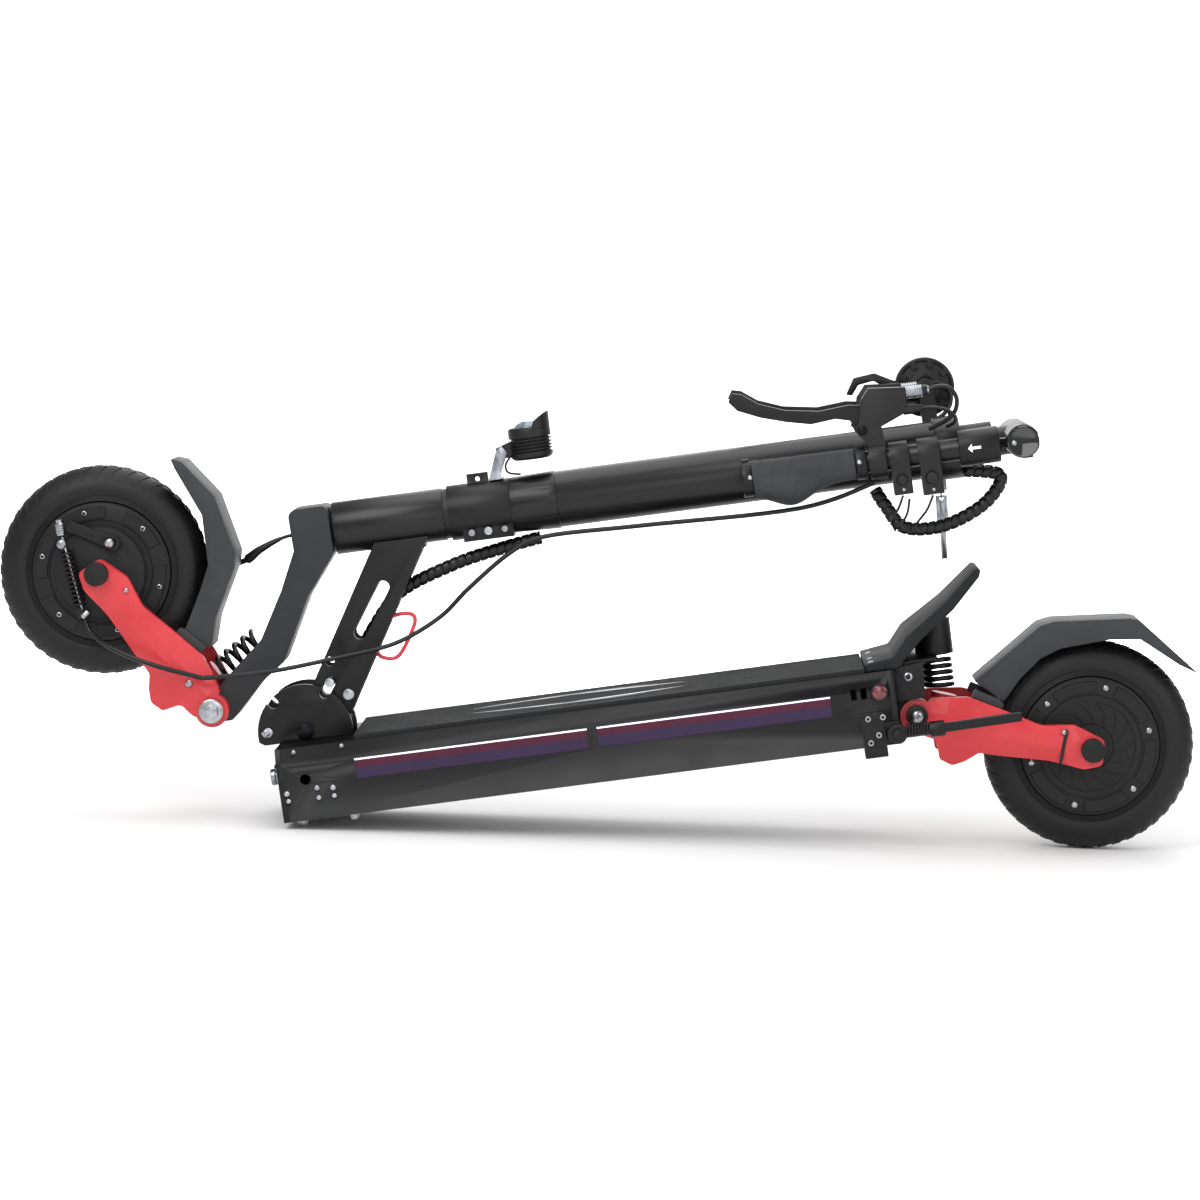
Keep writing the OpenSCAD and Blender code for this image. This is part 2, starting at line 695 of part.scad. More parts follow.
neck_y = 32;
front_seat_a = [-53.3, 157.2];
front_seat_b = [-8, 184];
spring_way = (front_seat_b - front_seat_a) / norm(front_seat_b - front_seat_a);
spring_side = [-spring_way[1], spring_way[0]];
channel_r = spring_r;
neck_shape = [[head_x0 - 43, head_z + 26, 8], [head_x0 - 2, head_z + 26, 6], [head_x0 - 2, head_z - 24, 4],
    [50, 222, 10], [16, 158, 14], [-10, 140, 10], [-44, 106, 6], [-68, 106, 6], [-76, 122, 6],
    [-40, 154, 8], [-4, 184, 12], [24, 232, 8], [head_x0 - 42, head_z - 16, 6]];
module fork_neck() lay() color("#55565b") {
    difference() {
        union() {
            side_plate(rounded(neck_shape), -neck_y, neck_y);
            cross_bar(front_pivot, boss_r - 4, -arm_in + face_gap + 0.5, arm_in - face_gap - 0.5);
        }
        cross_bar(front_pivot, pivot_r, -big, big);
        // channel between the two legs for the spring
        side_plate([front_seat_a - 16 * spring_way - channel_r * spring_side,
            front_seat_b - channel_r * spring_side, front_seat_b + channel_r * spring_side,
            front_seat_a - 16 * spring_way + channel_r * spring_side], -channel_r, channel_r);
        long_bar(head_x0 - 45, head_x0 - 3, 9);
    }
    cross_bar(front_pivot, pivot_r - run_fit, -arm_out - 5, arm_out + 5);
    both_sides()
        cross_bar(front_pivot, 11, -arm_out - 6, -arm_out - 1.5);
    // steerer through the head tube
    difference() {
        long_bar(head_x0 - 2, clamp_x0 + 30, steerer_r);
        long_bar(head_x0 - 3, clamp_x0 + 31, steerer_r - 3);
    }
}
clamp_r = head_r + 1.5;
module clamp_collar() lay() color(black) difference() {
    union() {
        long_bar(clamp_x0, clamp_x1, clamp_r);
        block([clamp_x0 + 12, -22, head_z - clamp_r - 2], [clamp_x1, 22, head_z - 14]);
        // hook on top that holds a bag or the deck
        block([clamp_x0 + 22, -5, head_z + clamp_r - 3], [clamp_x0 + 44, 5, head_z + clamp_r + 9]);
        for (x = [clamp_x0 + 22, clamp_x0 + 39, clamp_x0 + 56])
            cross_bar([x, head_z - 22], 4.5, -24, 24);
    }
    long_bar(clamp_x0 - 1, clamp_x1 + 1, steerer_r + run_fit);
    block([clamp_x0 - 1, -1, 0], [clamp_x1 + 1, 1, head_z]);
    cross_bar([clamp_x0 + 33, head_z + clamp_r + 3], 2.5, -10, 10);
}
top_clamp_r = stem_r + 3.5;
module stem() lay() color(black) {
    difference() {
        union() {
            translate([clamp_x1 + 0.05, 0, head_z])
                rotate([0, 90, 0])
                    cylinder(h = stem_x0 - clamp_x1, r1 = clamp_r, r2 = stem_r + 1);
            long_bar(stem_x0, stem_x1, stem_r);
            long_bar(stem_x1 - 4, stem_x1 + 22, top_clamp_r);
        }
        long_bar(clamp_x1 - 1, stem_x1 + 23, stem_r - 14);
    }
}
slot_z = 5.5;
pivot_dx = 4;
pivot_dy = bar_y + 4.5;
module t_bar() lay() color(black) difference() {
    union() {
        cross_bar([tbar_x, tbar_z], tbar_r, -tbar_half, tbar_half);
        long_bar(stem_x1 - 60, tbar_x, stem_r - 14.06, 0, head_z);
        for (s = [-1, 1])
            translate([tbar_x + pivot_dx, s * pivot_dy, tbar_z - tbar_r - 1])
                cylinder(h = 3, r = 5);
    }
    for (s = [-1, 1]) {
        block([tbar_x - 30, min(s * (bar_y - 10), s * big), tbar_z - slot_z],
            [tbar_x + 30, max(s * (bar_y - 10), s * big), tbar_z + slot_z]);
        translate([tbar_x + pivot_dx, s * pivot_dy, 0])
            cylinder(h = big, r = 4);
    }
}
lamp_pivot = [clamp_x0 + 61, head_z + 55];
module lamp_bracket() lay() color("#5a5b60") {
    side_plate([[clamp_x0 + 45, head_z + clamp_r + 0.4], [clamp_x0 + 56, head_z + clamp_r + 0.4],
        [clamp_x0 + 67, head_z + 55], [clamp_x0 + 62, head_z + 62], [clamp_x0 + 55, head_z + 56]], -9.5, -7);
    block([clamp_x0 + 45, -9.5, head_z + clamp_r], [clamp_x0 + 60, 9.5, head_z + clamp_r + 2]);
    side_plate([[clamp_x0 + 45, head_z + clamp_r + 0.4], [clamp_x0 + 56, head_z + clamp_r + 0.4],
        [clamp_x0 + 67, head_z + 55], [clamp_x0 + 62, head_z + 62], [clamp_x0 + 55, head_z + 56]], 7, 9.5);
    cross_bar(lamp_pivot, 2.5 - run_fit, -12, 12);
}
lamp_x0 = clamp_x0 + 70;
module lamp() lay() color(black) difference() {
    union() {
        // round body whose lens looks away from the deck
        translate([lamp_x0 + 22, 0, head_z + 44])
            cylinder(h = 34, r = 22);
        translate([lamp_x0 + 22, 0, head_z + 78])
            difference() {
                cylinder(h = 14, r = 22);
                translate([0, 0, -1])
                    cylinder(h = 16, r = 19.5);
                block([-30, -30, -1], [10, 30, 20]);
            }
        side_plate([[lamp_pivot[0] - 5, lamp_pivot[1] - 5], [lamp_x0 + 8, head_z + 48],
            [lamp_x0 + 8, head_z + 70], [lamp_pivot[0] - 5, lamp_pivot[1] + 5]], -6, 6);
    }
    cross_bar(lamp_pivot, 2.5, -big, big);
    translate([lamp_x0 + 22, 0, head_z + 72])
        cylinder(h = 10, r = 17);
}
module lamp_lens() lay() color("#dfe6ee")
    translate([lamp_x0 + 22, 0, head_z + 72.05])
        intersection() {
            cylinder(h = 14, r = 16.8);
            translate([0, 0, -10])
                sphere(r = 21);
        }
module front_spring() lay() color(rubber)
    translate([front_seat_a[0], 0, front_seat_a[1]])
        rotate([0, 90 - atan2(spring_way[1], spring_way[0]), 0])
            coil(4.5, spring_r - spring_wire_r - 3, spring_wire_r, norm(front_seat_b - front_seat_a) - spring_wire_r - 0.3);

// ---- handlebars: drawn for the left, mirrored for the right ----

bar_end = tbar_x - 19;
module bar_frame(side) {
    mirror([0, side > 0 ? 1 : 0, 0])
        translate([bar_end, -bar_y, tbar_z])
            rotate([0, -bar_droop, 0])
                children();
}
module bar_x(x0, x1, r) {
    translate([x0, 0, 0])
        rotate([0, 90, 0])
            cylinder(h = x1 - x0, r = r);
}
tube_l = 262;
module handlebar(side) {
    bar_frame(side)
        union() {
            bar_x(-tube_l, -25, bar_r);
            bar_x(-26, -4, 15);
        }
    mirror([0, side > 0 ? 1 : 0, 0])
        difference() {
            union() {
                translate([tbar_x + pivot_dx, -pivot_dy, tbar_z - slot_z + 0.5])
                    cylinder(h = 2 * slot_z - 1, r = 8);
                block([bar_end - 6, -bar_y - 8, tbar_z - slot_z + 0.5], [tbar_x, -bar_y + 6, tbar_z + slot_z - 0.5]);
            }
            translate([tbar_x + pivot_dx, -pivot_dy, 0])
                cylinder(h = big, r = 4 + run_fit);
        }
}
module left_bar() lay() color(black)
    handlebar(-1);
module right_bar() lay() color(black)
    handlebar(1);
module grip(side) {
    bar_frame(side)
        difference() {
            union() {
                bar_x(-tube_l - 2, -tube_l + grip_l - 10, grip_r);
                bar_x(-tube_l - 4, -tube_l + 12, grip_r + 2);
                bar_x(-tube_l + grip_l - 9, -tube_l + grip_l, grip_r - 1);
            }
            bar_x(-tube_l - eps, 0, bar_r + 0.05);
        }
}
module left_grip() lay() color(charcoal)
    grip(-1);
module right_grip() lay() color(charcoal)
    grip(1);
module sleeve(side) {
    bar_frame(side)
        difference() {
            bar_x(-46, -4.5, sleeve_r);
            bar_x(-47, -26.8, bar_r + run_fit);
            bar_x(-27, 0, 15 + 0.5);
        }
}
module left_sleeve() lay() color(black)
    sleeve(-1);
module right_sleeve() lay() color(black)
    sleeve(1);

lever_at = [-140, 33];
lever_y = 5;
// Clamp, body and pivot of a brake lever
module lever_mount() {
    difference() {
        union() {
            side_plate([[-135, -18], [-122, -20], [-118, 14], [-120, 34], [-95, 44], [-91, 58], [-91, 70],
                [-128, 74], [-138, 62], [-142, 42], [-148, 34], [-142, 26], [-137, 18]], -9, 9);
            bar_x(-137, -120, bar_r + 7);
        }
        bar_x(-200, 0, bar_r + 0.05);
        side_plate([[-170, 22], [-128, 22], [-124, 48], [-134, 64], [-170, 64]], -lever_y - 0.4, lever_y + 0.4);
    }
    cross_bar(lever_at, 3.5 - run_fit, -11, 11);
    translate([-91, 0, 64])
        rotate([0, 90, 0])
            cylinder(h = 22, r = 5.5);
}
module lever() {
    difference() {
        union() {
            side_plate([[-143, 26], [-133, 28], [-133, 48], [-138, 58], [-150, 60], [-180, 58], [-215, 64],
                [-240, 74], [-256, 86], [-265, 88], [-270, 80], [-262, 70], [-240, 60], [-215, 52], [-190, 46],
                [-165, 48], [-150, 44]], -lever_y, lever_y);
        }
        cross_bar(lever_at, 3.5, -big, big);
    }
}
module left_lever() lay() color(black) bar_frame(-1)
    lever();
module right_lever() lay() color(black) bar_frame(1)
    lever();
module pod(x0, x1, drop) {
    difference() {
        union() {
            bar_x(x0, x1, bar_r + 5);
            block([x0, -15, -drop], [x1, 14, -4]);
        }
        bar_x(-300, 0, bar_r + 0.05);
    }
}
module left_controls() lay() color(black) bar_frame(-1) {
    lever_mount();
    difference() {
        union() {
            pod(-116, -97, 37);
            pod(-87, -66, 41);
        }
        cross_bar([-106.5, -22], 5.4, -30, -9);
        cross_bar([-76.5, -24], 6.4, -30, -9);
    }
}
module horn_button() lay() color("#46474c") bar_frame(-1)
    cross_bar([-106.5, -22], 5, -17.5, -12);
module light_button() lay() color("#46474c") bar_frame(-1)
    cross_bar([-76.5, -24], 6, -17.5, -12);
display_at = [-66, 62];
display_r = 31;
module right_controls() lay() color(black) bar_frame(1) {
    lever_mount();
    difference() {
        union() {
            // round display that faces outwards when folded
            cross_bar(display_at, display_r, -30, -16);
            cross_bar(display_at, 10, -16, 5);
            block([-74, -9.5, 8], [-58, 5, 62]);
            bar_x(-78, -56, bar_r + 5);
            // key switch below the bar
            translate([-64, 0, -28])
                cylinder(h = 20, r = 11);
        }
        bar_x(-300, 0, bar_r + 0.05);
        translate([-64, 0, -29])
            cylinder(h = 12, r = key_r + run_fit);
        for (dx = [-9, 9])
            cross_bar(display_at + [dx, -19], 4, -31, -26);
    }
}
module throttle() lay() color(black) bar_frame(1) {
    // ring that turns on the display's neck, and the finger paddle on it
    difference() {
        union() {
            cross_bar(display_at, 17, -15.5, -10);
            side_plate([[-66, 62], [-82, 67], [-98, 74], [-116, 84], [-138, 82], [-148, 66], [-142, 64], [-134, 74],
                [-118, 76], [-102, 64], [-80, 54]], -15.5, -10);
        }
        cross_bar(display_at, 10 + run_fit, -big, big);
    }
}
module power_button() lay() color("#46474c") bar_frame(1)
    cross_bar(display_at + [-9, -19], 3.6, -31.2, -27.5);
module mode_button() lay() color("#46474c") bar_frame(1)
    cross_bar(display_at + [9, -19], 3.6, -31.2, -27.5);
key_r = 2.8;
ring_r = 6;
key_hang = 5;
module key() lay() color("#b9bbc0") bar_frame(1) difference() {
    union() {
        translate([-64, 0, -34])
            cylinder(h = 14, r = key_r);
        block([-70, -1, -46], [-58, 1, -33]);
    }
    cross_bar([-64, -41], 2, -5, 5);
}
// Key ring through the key in the switch, with the second key on it
module spare_key() lay() color("#8a8c92") bar_frame(1) translate([-64, 0, -41]) rotate([0, key_hang, 0])
        translate([64, 0, 41]) {
    translate([-64, 0, -41.6 - ring_r])
        rotate([90, 0, 90])
            rotate_extrude()
                translate([ring_r, 0])
                    circle(r = 0.9);
    difference() {
        union() {
            block([-70, -1, -84], [-58, 1, -51]);
            block([-67, -1, -117], [-61, 1, -83]);
        }
        cross_bar([-64, -42.2 - 2 * ring_r], 2, -5, 5);
    }
}

// ---- cables, held along their whole way ----

brake_route = [[640, -30, 262], [560, -30, 246], [400, -36, 250], [300, -38, 252], [262, -40, 240],
    [216, -40, 210], [182, -40, 184], [134, -44, 164], [80, -50, 158], [5, -58, 153], [-64, -68, 156],
    [-112, -70, 176], [-150, -62, 196], [-174, -45, 215],
    [-179.6, -39, 231.2]];
module cables() lay() color(rubber) {
    tube(smooth(brake_route, 4), 2.5, 8);
    tube(smooth([[46, 35.3, 284], [24, 36, 281], [0, 36, 272], [-20, 40, 262], [-60, 43, 258],
        [-110, 43, 268], [-135, 42.4, 276]], 4), 3, 8);
}
loom_route = [[733.6, -22, 262], [768, -22, 252], [749, -20, 226], [706, -20, 209], [665, -20, 212],
    [648, -18, 237], [640, -14, 253]];
arm_route = [[293, 0, 249.2], [250, 0, 243], [200, 0, 233], [142, 0, 212], [108, 0, 177], [84, 0, 140], [74, 0, 110], [66, 0, 84], [65.5, 0, 76.3]];
module spiral_loom() lay() color(rubber) {
    tube(smooth(loom_route, 6), 7, 10);
    tube(smooth(arm_route, 6), 6.5, 10);
}

deck_shell();
deck_end_plates();
deck_mat();
side_lights();
side_reflectors();
battery_pack();
controllers();
hinge_cheeks();
hinge_pin();
deck_fasteners();
charge_ports();
kick_plate();
rear_brackets();
rear_spring();
kickstand_bracket();
kickstand();
rear_swingarm();
rear_fender();
rear_axle_set();
rear_tyre();
rear_hub();
rear_brake_arm();
fold_arm();
head_tube();
arm_fasteners();
lock_pin();
lock_ring();
fork_neck();
clamp_collar();
stem();
t_bar();
lamp_bracket();
lamp();
lamp_lens();
front_spring();
front_swingarm();
front_fender();
front_axle_set();
front_tyre();
front_hub();
front_brake_arm();
left_bar();
left_grip();
left_controls();
left_sleeve();
left_lever();
horn_button();
light_button();
right_bar();
right_grip();
right_controls();
right_sleeve();
right_lever();
throttle();
power_button();
mode_button();
key();
spare_key();
cables();
spiral_loom();
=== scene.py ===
import bpy
import bmesh
import json
import math
from mathutils import Matrix, Vector

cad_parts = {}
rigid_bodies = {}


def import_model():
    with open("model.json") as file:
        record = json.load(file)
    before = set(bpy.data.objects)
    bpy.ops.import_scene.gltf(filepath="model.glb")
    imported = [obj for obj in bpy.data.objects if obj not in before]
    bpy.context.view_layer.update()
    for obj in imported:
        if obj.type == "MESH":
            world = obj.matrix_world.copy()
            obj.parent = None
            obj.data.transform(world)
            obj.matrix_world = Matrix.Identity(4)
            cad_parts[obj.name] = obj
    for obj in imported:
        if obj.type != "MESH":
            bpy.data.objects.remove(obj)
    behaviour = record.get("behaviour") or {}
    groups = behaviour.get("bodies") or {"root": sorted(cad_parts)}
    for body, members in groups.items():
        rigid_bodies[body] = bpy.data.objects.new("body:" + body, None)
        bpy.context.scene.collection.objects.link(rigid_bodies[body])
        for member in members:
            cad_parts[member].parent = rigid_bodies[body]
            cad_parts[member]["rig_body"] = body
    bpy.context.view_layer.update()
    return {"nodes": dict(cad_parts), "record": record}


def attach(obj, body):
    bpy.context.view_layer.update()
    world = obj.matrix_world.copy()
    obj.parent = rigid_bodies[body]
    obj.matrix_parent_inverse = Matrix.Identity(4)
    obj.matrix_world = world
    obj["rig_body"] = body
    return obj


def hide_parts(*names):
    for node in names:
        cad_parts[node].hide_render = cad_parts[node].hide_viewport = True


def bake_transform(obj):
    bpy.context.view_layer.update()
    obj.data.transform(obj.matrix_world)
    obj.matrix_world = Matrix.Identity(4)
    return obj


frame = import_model()
record = frame["record"]
joint = {j["name"]: j for j in record["behaviour"]["joints"]}
bodyOf = {n: b for b, ns in record["behaviour"]["bodies"].items() for n in ns}
print("frame loaded", len(frame["nodes"]), "nodes")

# Camera, light and floor

view = {"place": (0.107097, -4.476181, 0.618254), "ahead": (-0.023253, 0.9961514, -0.0845087),
        "up": (-0.0357396, 0.0836492, 0.9958542), "lens": 131.07}
ahead, up = Vector(view["ahead"]), Vector(view["up"])
side = ahead.cross(up).normalized()
up = side.cross(ahead).normalized()
cameraData = bpy.data.cameras.new("camera")
cameraData.lens = view["lens"]
cameraData.sensor_width = 36
cameraData.clip_end = 50
camera = bpy.data.objects.new("camera", cameraData)
bpy.context.collection.objects.link(camera)
camera.matrix_world = Matrix((
    (side.x, up.x, -ahead.x, view["place"][0]), (side.y, up.y, -ahead.y, view["place"][1]),
    (side.z, up.z, -ahead.z, view["place"][2]), (0, 0, 0, 1)))
bpy.context.scene.camera = camera


def linear(code):
    parts = [int(code[i:i + 2], 16) / 255 for i in (1, 3, 5)]
    return tuple(c / 12.92 if c <= 0.04045 else ((c + 0.055) / 1.055) ** 2.4 for c in parts) + (1.0,)


lights = {  # position, aim, size and power of each soft box
    "key": ((-1.2, -2.2, 2.6), (0, 0, 0.2), 2.0, 62),
    "fill": ((2.2, -2.0, 1.3), (0.1, 0, 0.2), 1.6, 20),
    "front": ((0.1, -3.0, 0.9), (0, 0, 0.2), 1.2, 10),
    "back": ((0.4, 2.4, 2.2), (0, 0, 0.2), 2.4, 34),
    "backdrop": ((0.0, 1.2, 1.9), (0, 6, 1.6), 3.0, 330),
    "top": ((0.0, 0.2, 3.0), (0, 0, 0.2), 2.2, 40),
}
for name, (place, aim, size, power) in lights.items():
    lamp = bpy.data.lights.new(name, "AREA")
    lamp.energy = power
    lamp.size = size
    lampObject = bpy.data.objects.new(name, lamp)
    bpy.context.collection.objects.link(lampObject)
    lampObject.location = place
    lampObject.rotation_euler = (Vector(aim) - Vector(place)).to_track_quat("-Z", "Y").to_euler()
world = bpy.data.worlds.new("studio")
world.use_nodes = True
world.node_tree.nodes["Background"].inputs["Color"].default_value = (1, 1, 1, 1)
world.node_tree.nodes["Background"].inputs["Strength"].default_value = 0.42
bpy.context.scene.world = world
bpy.context.scene.view_settings.view_transform = "Standard"


# Materials

def addNode(tree, kind, settings=None, inputs=None):
    node = tree.nodes.new(kind)
    for key, value in (settings or {}).items():
        setattr(node, key, value)
    for key, value in (inputs or {}).items():
        if isinstance(value, bpy.types.NodeSocket):
            tree.links.new(value, node.inputs[key])
        else:
            node.inputs[key].default_value = value
    return node


def newMaterial(name):
    material = bpy.data.materials.new(name)
    material.use_nodes = True
    tree = material.node_tree
    tree.nodes.clear()
    shader = addNode(tree, "ShaderNodeBsdfPrincipled")
    addNode(tree, "ShaderNodeOutputMaterial", inputs={"Surface": shader.outputs["BSDF"]})
    return material, tree, shader


def setShader(shader, values):
    for key, value in values.items():
        shader.inputs[key].default_value = value


def grainBump(tree, shader, grainMm, strength, depthMm, detail=3.0, kind="noise"):
    # grainMm is the distance between bumps on the real surface
    where = addNode(tree, "ShaderNodeTexCoord")
    scale = 1000.0 / grainMm
    if kind == "cells":
        pattern = addNode(tree, "ShaderNodeTexVoronoi", {"feature": "F1"},
                          {"Vector": where.outputs["Object"], "Scale": scale}).outputs["Distance"]
    else:
        pattern = addNode(tree, "ShaderNodeTexNoise", {},
                          {"Vector": where.outputs["Object"], "Scale": scale,
                           "Detail": detail}).outputs["Fac"]
    bump = addNode(tree, "ShaderNodeBump", {},
                   {"Strength": strength, "Distance": depthMm / 1000, "Height": pattern})
    tree.links.new(bump.outputs["Normal"], shader.inputs["Normal"])
    return where, pattern


def twoTone(tree, shader, where, darkHex, lightHex, patchMm, roughLow, roughHigh):
    # slow change of colour and gloss across a part
    wide = addNode(tree, "ShaderNodeTexNoise", {},
                   {"Vector": where.outputs["Object"], "Scale": 1000 / patchMm, "Detail": 4.0,
                    "Roughness": 0.6})
    ramp = addNode(tree, "ShaderNodeValToRGB", {}, {"Fac": wide.outputs["Fac"]})
    ramp.color_ramp.elements[0].position = 0.35
    ramp.color_ramp.elements[1].position = 0.68
    ramp.color_ramp.elements[0].color = linear(darkHex)
    ramp.color_ramp.elements[1].color = linear(lightHex)
    tree.links.new(ramp.outputs["Color"], shader.inputs["Base Color"])
    rough = addNode(tree, "ShaderNodeMapRange", {},
                    {"Value": wide.outputs["Fac"], "From Min": 0.3, "From Max": 0.7,
                     "To Min": roughLow, "To Max": roughHigh})
    tree.links.new(rough.outputs["Result"], shader.inputs["Roughness"])


finishes = {  # dark, light, patch mm, roughness range, metallic, grain mm, bump strength, bump depth mm, extras
    # powder baked on extrusions and plate: an even satin with a fine orange peel
    "satinBlackPowderCoat": ("#0b0b0c", "#111113", 60, (0.36, 0.46), 0.0, 0.9, 0.22, 0.04,
                             {"IOR": 1.5, "Specular IOR Level": 0.32}),
    # smoother powder on drawn tube: longer, cleaner highlights along the tube
    "stemBlackPowderCoat": ("#09090a", "#0f0f10", 90, (0.30, 0.38), 0.0, 0.8, 0.16, 0.03,
                            {"IOR": 1.5, "Specular IOR Level": 0.4}),
    # powder over a rough casting: dull grey with a coarser peel
    "greyPowderCoatCasting": ("#242527", "#2c2d30", 45, (0.46, 0.56), 0.0, 1.1, 0.30, 0.06,
                              {"IOR": 1.5, "Specular IOR Level": 0.32}),
    # red powder on a cast arm: strong colour under a soft sheen
    "redPowderCoatCasting": ("#c3262d", "#d0353b", 50, (0.36, 0.46), 0.0, 1.0, 0.22, 0.04,
                             {"IOR": 1.5, "Coat Weight": 0.15, "Coat Roughness": 0.3}),
    # sprayed matt paint on the cast hub: broad, weak highlights
    "mattHubPaint": ("#0c0c0d", "#131315", 35, (0.46, 0.60), 0.0, 0.9, 0.25, 0.05,
                     {"IOR": 1.5, "Specular IOR Level": 0.34}),
    # nylon moulded with glass fibre: dry dark grey with a slight grain
    "glassFilledNylon": ("#2c2d2f", "#363739", 40, (0.50, 0.62), 0.0, 0.7, 0.35, 0.06,
                         {"IOR": 1.53, "Specular IOR Level": 0.34}),
    # ABS from a spark-textured mould: soft black with a fine grain
    "mouldedAbs": ("#09090a", "#101012", 30, (0.38, 0.52), 0.0, 0.6, 0.22, 0.04,
                   {"IOR": 1.54, "Specular IOR Level": 0.36}),
    # vulcanised carbon-black rubber: near black, half dull
    "tyreRubber": ("#08080a", "#101011", 30, (0.44, 0.58), 0.0, 1.2, 0.30, 0.08,
                   {"IOR": 1.52, "Specular IOR Level": 0.34}),
    # moulded grip rubber: dull dark grey, handled soft
    "gripRubber": ("#2e2f31", "#3a3b3d", 25, (0.60, 0.74), 0.0, 0.8, 0.35, 0.08,
                   {"IOR": 1.52, "Specular IOR Level": 0.3}),
    # pressed mat rubber: the driest of the blacks, almost no highlight
    "deckMatRubber": ("#161718", "#202123", 40, (0.66, 0.82), 0.0, 0.9, 0.40, 0.10,
                      {"IOR": 1.52, "Specular IOR Level": 0.3}),
    # extruded PVC sheath: smooth, with a narrow line of light
    "cableSheathPvc": ("#09090a", "#101011", 40, (0.32, 0.46), 0.0, 1.5, 0.12, 0.03,
                       {"IOR": 1.53, "Specular IOR Level": 0.36}),
    # cut polyethylene band: waxy black that shines on each turn
    "loomWrapPolyethylene": ("#070708", "#0d0d0e", 25, (0.30, 0.44), 0.0, 1.5, 0.12, 0.03,
                             {"IOR": 1.51, "Specular IOR Level": 0.4}),
    # coiled and blackened wire: dark with a metallic edge
    "blackSpringSteel": ("#0d0d0f", "#151518", 25, (0.26, 0.36), 0.35, 1.0, 0.12, 0.02, {}),
    # wire dipped in red plastic: bright and glossy
    "redCoatedWire": ("#dd2f40", "#e8404e", 20, (0.26, 0.34), 0.0, 1.5, 0.08, 0.02,
                      {"IOR": 1.5, "Coat Weight": 0.3, "Coat Roughness": 0.15}),
    # zinc plated steel: pale grey metal, a little uneven
    "zincPlatedSteel": ("#9c9ea3", "#c6c8cc", 12, (0.24, 0.36), 1.0, 0.5, 0.12, 0.02, {}),
    # chemically blackened steel: dark metal with an oily sheen
    "blackOxideSteel": ("#16161a", "#222227", 12, (0.30, 0.42), 0.8, 0.5, 0.12, 0.02, {}),
    # aluminium off the lathe: bright, with fine changes of gloss
    "turnedAluminium": ("#8f9298", "#b4b7bc", 18, (0.22, 0.34), 1.0, 0.6, 0.12, 0.02, {}),
    # cast and tumbled aluminium: flat grey metal
    "castAluminiumCase": ("#7d8086", "#93969c", 20, (0.40, 0.50), 1.0, 0.8, 0.3, 0.05, {}),
    # heat-shrunk PVC film: blue with wide soft ripples
    "batteryShrinkWrap": ("#17406e", "#1d4d82", 30, (0.22, 0.32), 0.0, 3.0, 0.2, 0.1, {"IOR": 1.54}),
    # printed silver film: pale with a weak metal glint
    "silverTransfer": ("#a9abb0", "#c9cbcf", 15, (0.30, 0.42), 0.6, 0.8, 0.15, 0.03, {}),
}
materials = {}
for name, (dark, light, patch, rough, metal, grain, strength, depth, extra) in finishes.items():
    material, tree, shader = newMaterial(name)
    where, pattern = grainBump(tree, shader, grain, strength, depth)
    twoTone(tree, shader, where, dark, light, patch, rough[0], rough[1])
    setShader(shader, {"Metallic": metal, **extra})
    materials[name] = material

# Tinted acrylic strips: smooth moulded faces lit from inside by the LED tape. The white line is no LED: it is a
# painted highlight that glows by emission along the deck's widest crease
for name, code, glow, power in (
        ("purpleLightStrip", "#241433", "#2e1a40", 0.22), ("magentaLightStrip", "#3c0520", "#4a0828", 0.22),
        ("whiteLightLine", "#f4ecf6", "#fff2ff", 0.75)):
    material, tree, shader = newMaterial(name)
    where = addNode(tree, "ShaderNodeTexCoord")
    haze = addNode(tree, "ShaderNodeTexNoise", {},
                   {"Vector": where.outputs["Object"], "Scale": 22.0, "Detail": 1.0})
    ramp = addNode(tree, "ShaderNodeValToRGB", {}, {"Fac": haze.outputs["Fac"]})
    ramp.color_ramp.elements[0].color = linear(code)
    ramp.color_ramp.elements[1].color = linear(glow)
    tree.links.new(ramp.outputs["Color"], shader.inputs["Base Color"])
    tree.links.new(ramp.outputs["Color"], shader.inputs["Emission Color"])
    setShader(shader, {"Emission Strength": power, "Roughness": 0.16, "IOR": 1.49, "Coat Weight": 0.1,
                       "Coat Roughness": 0.05, "Specular IOR Level": 0.3})
    materials[name] = material

# Prismatic red reflector: small square prisms under a clear face
material, tree, shader = newMaterial("redPrismReflector")
where, pattern = grainBump(tree, shader, 2.2, 0.6, 0.4, kind="cells")
ramp = addNode(tree, "ShaderNodeValToRGB", {}, {"Fac": pattern})
ramp.color_ramp.elements[0].color = linear("#8c1424")
ramp.color_ramp.elements[1].color = linear("#2c060c")
tree.links.new(ramp.outputs["Color"], shader.inputs["Base Color"])
setShader(shader, {"Roughness": 0.12, "IOR": 1.49, "Coat Weight": 1.0, "Coat Roughness": 0.03})
materials["redPrismReflector"] = material

# Clear moulded polycarbonate lens
material, tree, shader = newMaterial("clearLens")
where, pattern = grainBump(tree, shader, 3.0, 0.25, 0.2, kind="cells")
ramp = addNode(tree, "ShaderNodeValToRGB", {}, {"Fac": pattern})
ramp.color_ramp.elements[0].color = linear("#23262b")
ramp.color_ramp.elements[1].color = linear("#9fb0c4")
tree.links.new(ramp.outputs["Color"], shader.inputs["Base Color"])
setShader(shader, {"Roughness": 0.05, "IOR": 1.585, "Coat Weight": 1.0, "Coat Roughness": 0.02,
                   "Transmission Weight": 0.35})
materials["clearLens"] = material

# Display window: dark gloss glass with a faint haze
material, tree, shader = newMaterial("displayGlass")
where, pattern = grainBump(tree, shader, 20.0, 0.03, 0.1)
twoTone(tree, shader, where, "#050608", "#0a0c10", 30, 0.04, 0.09)
setShader(shader, {"IOR": 1.52, "Coat Weight": 1.0, "Coat Roughness": 0.02})
materials["displayGlass"] = material

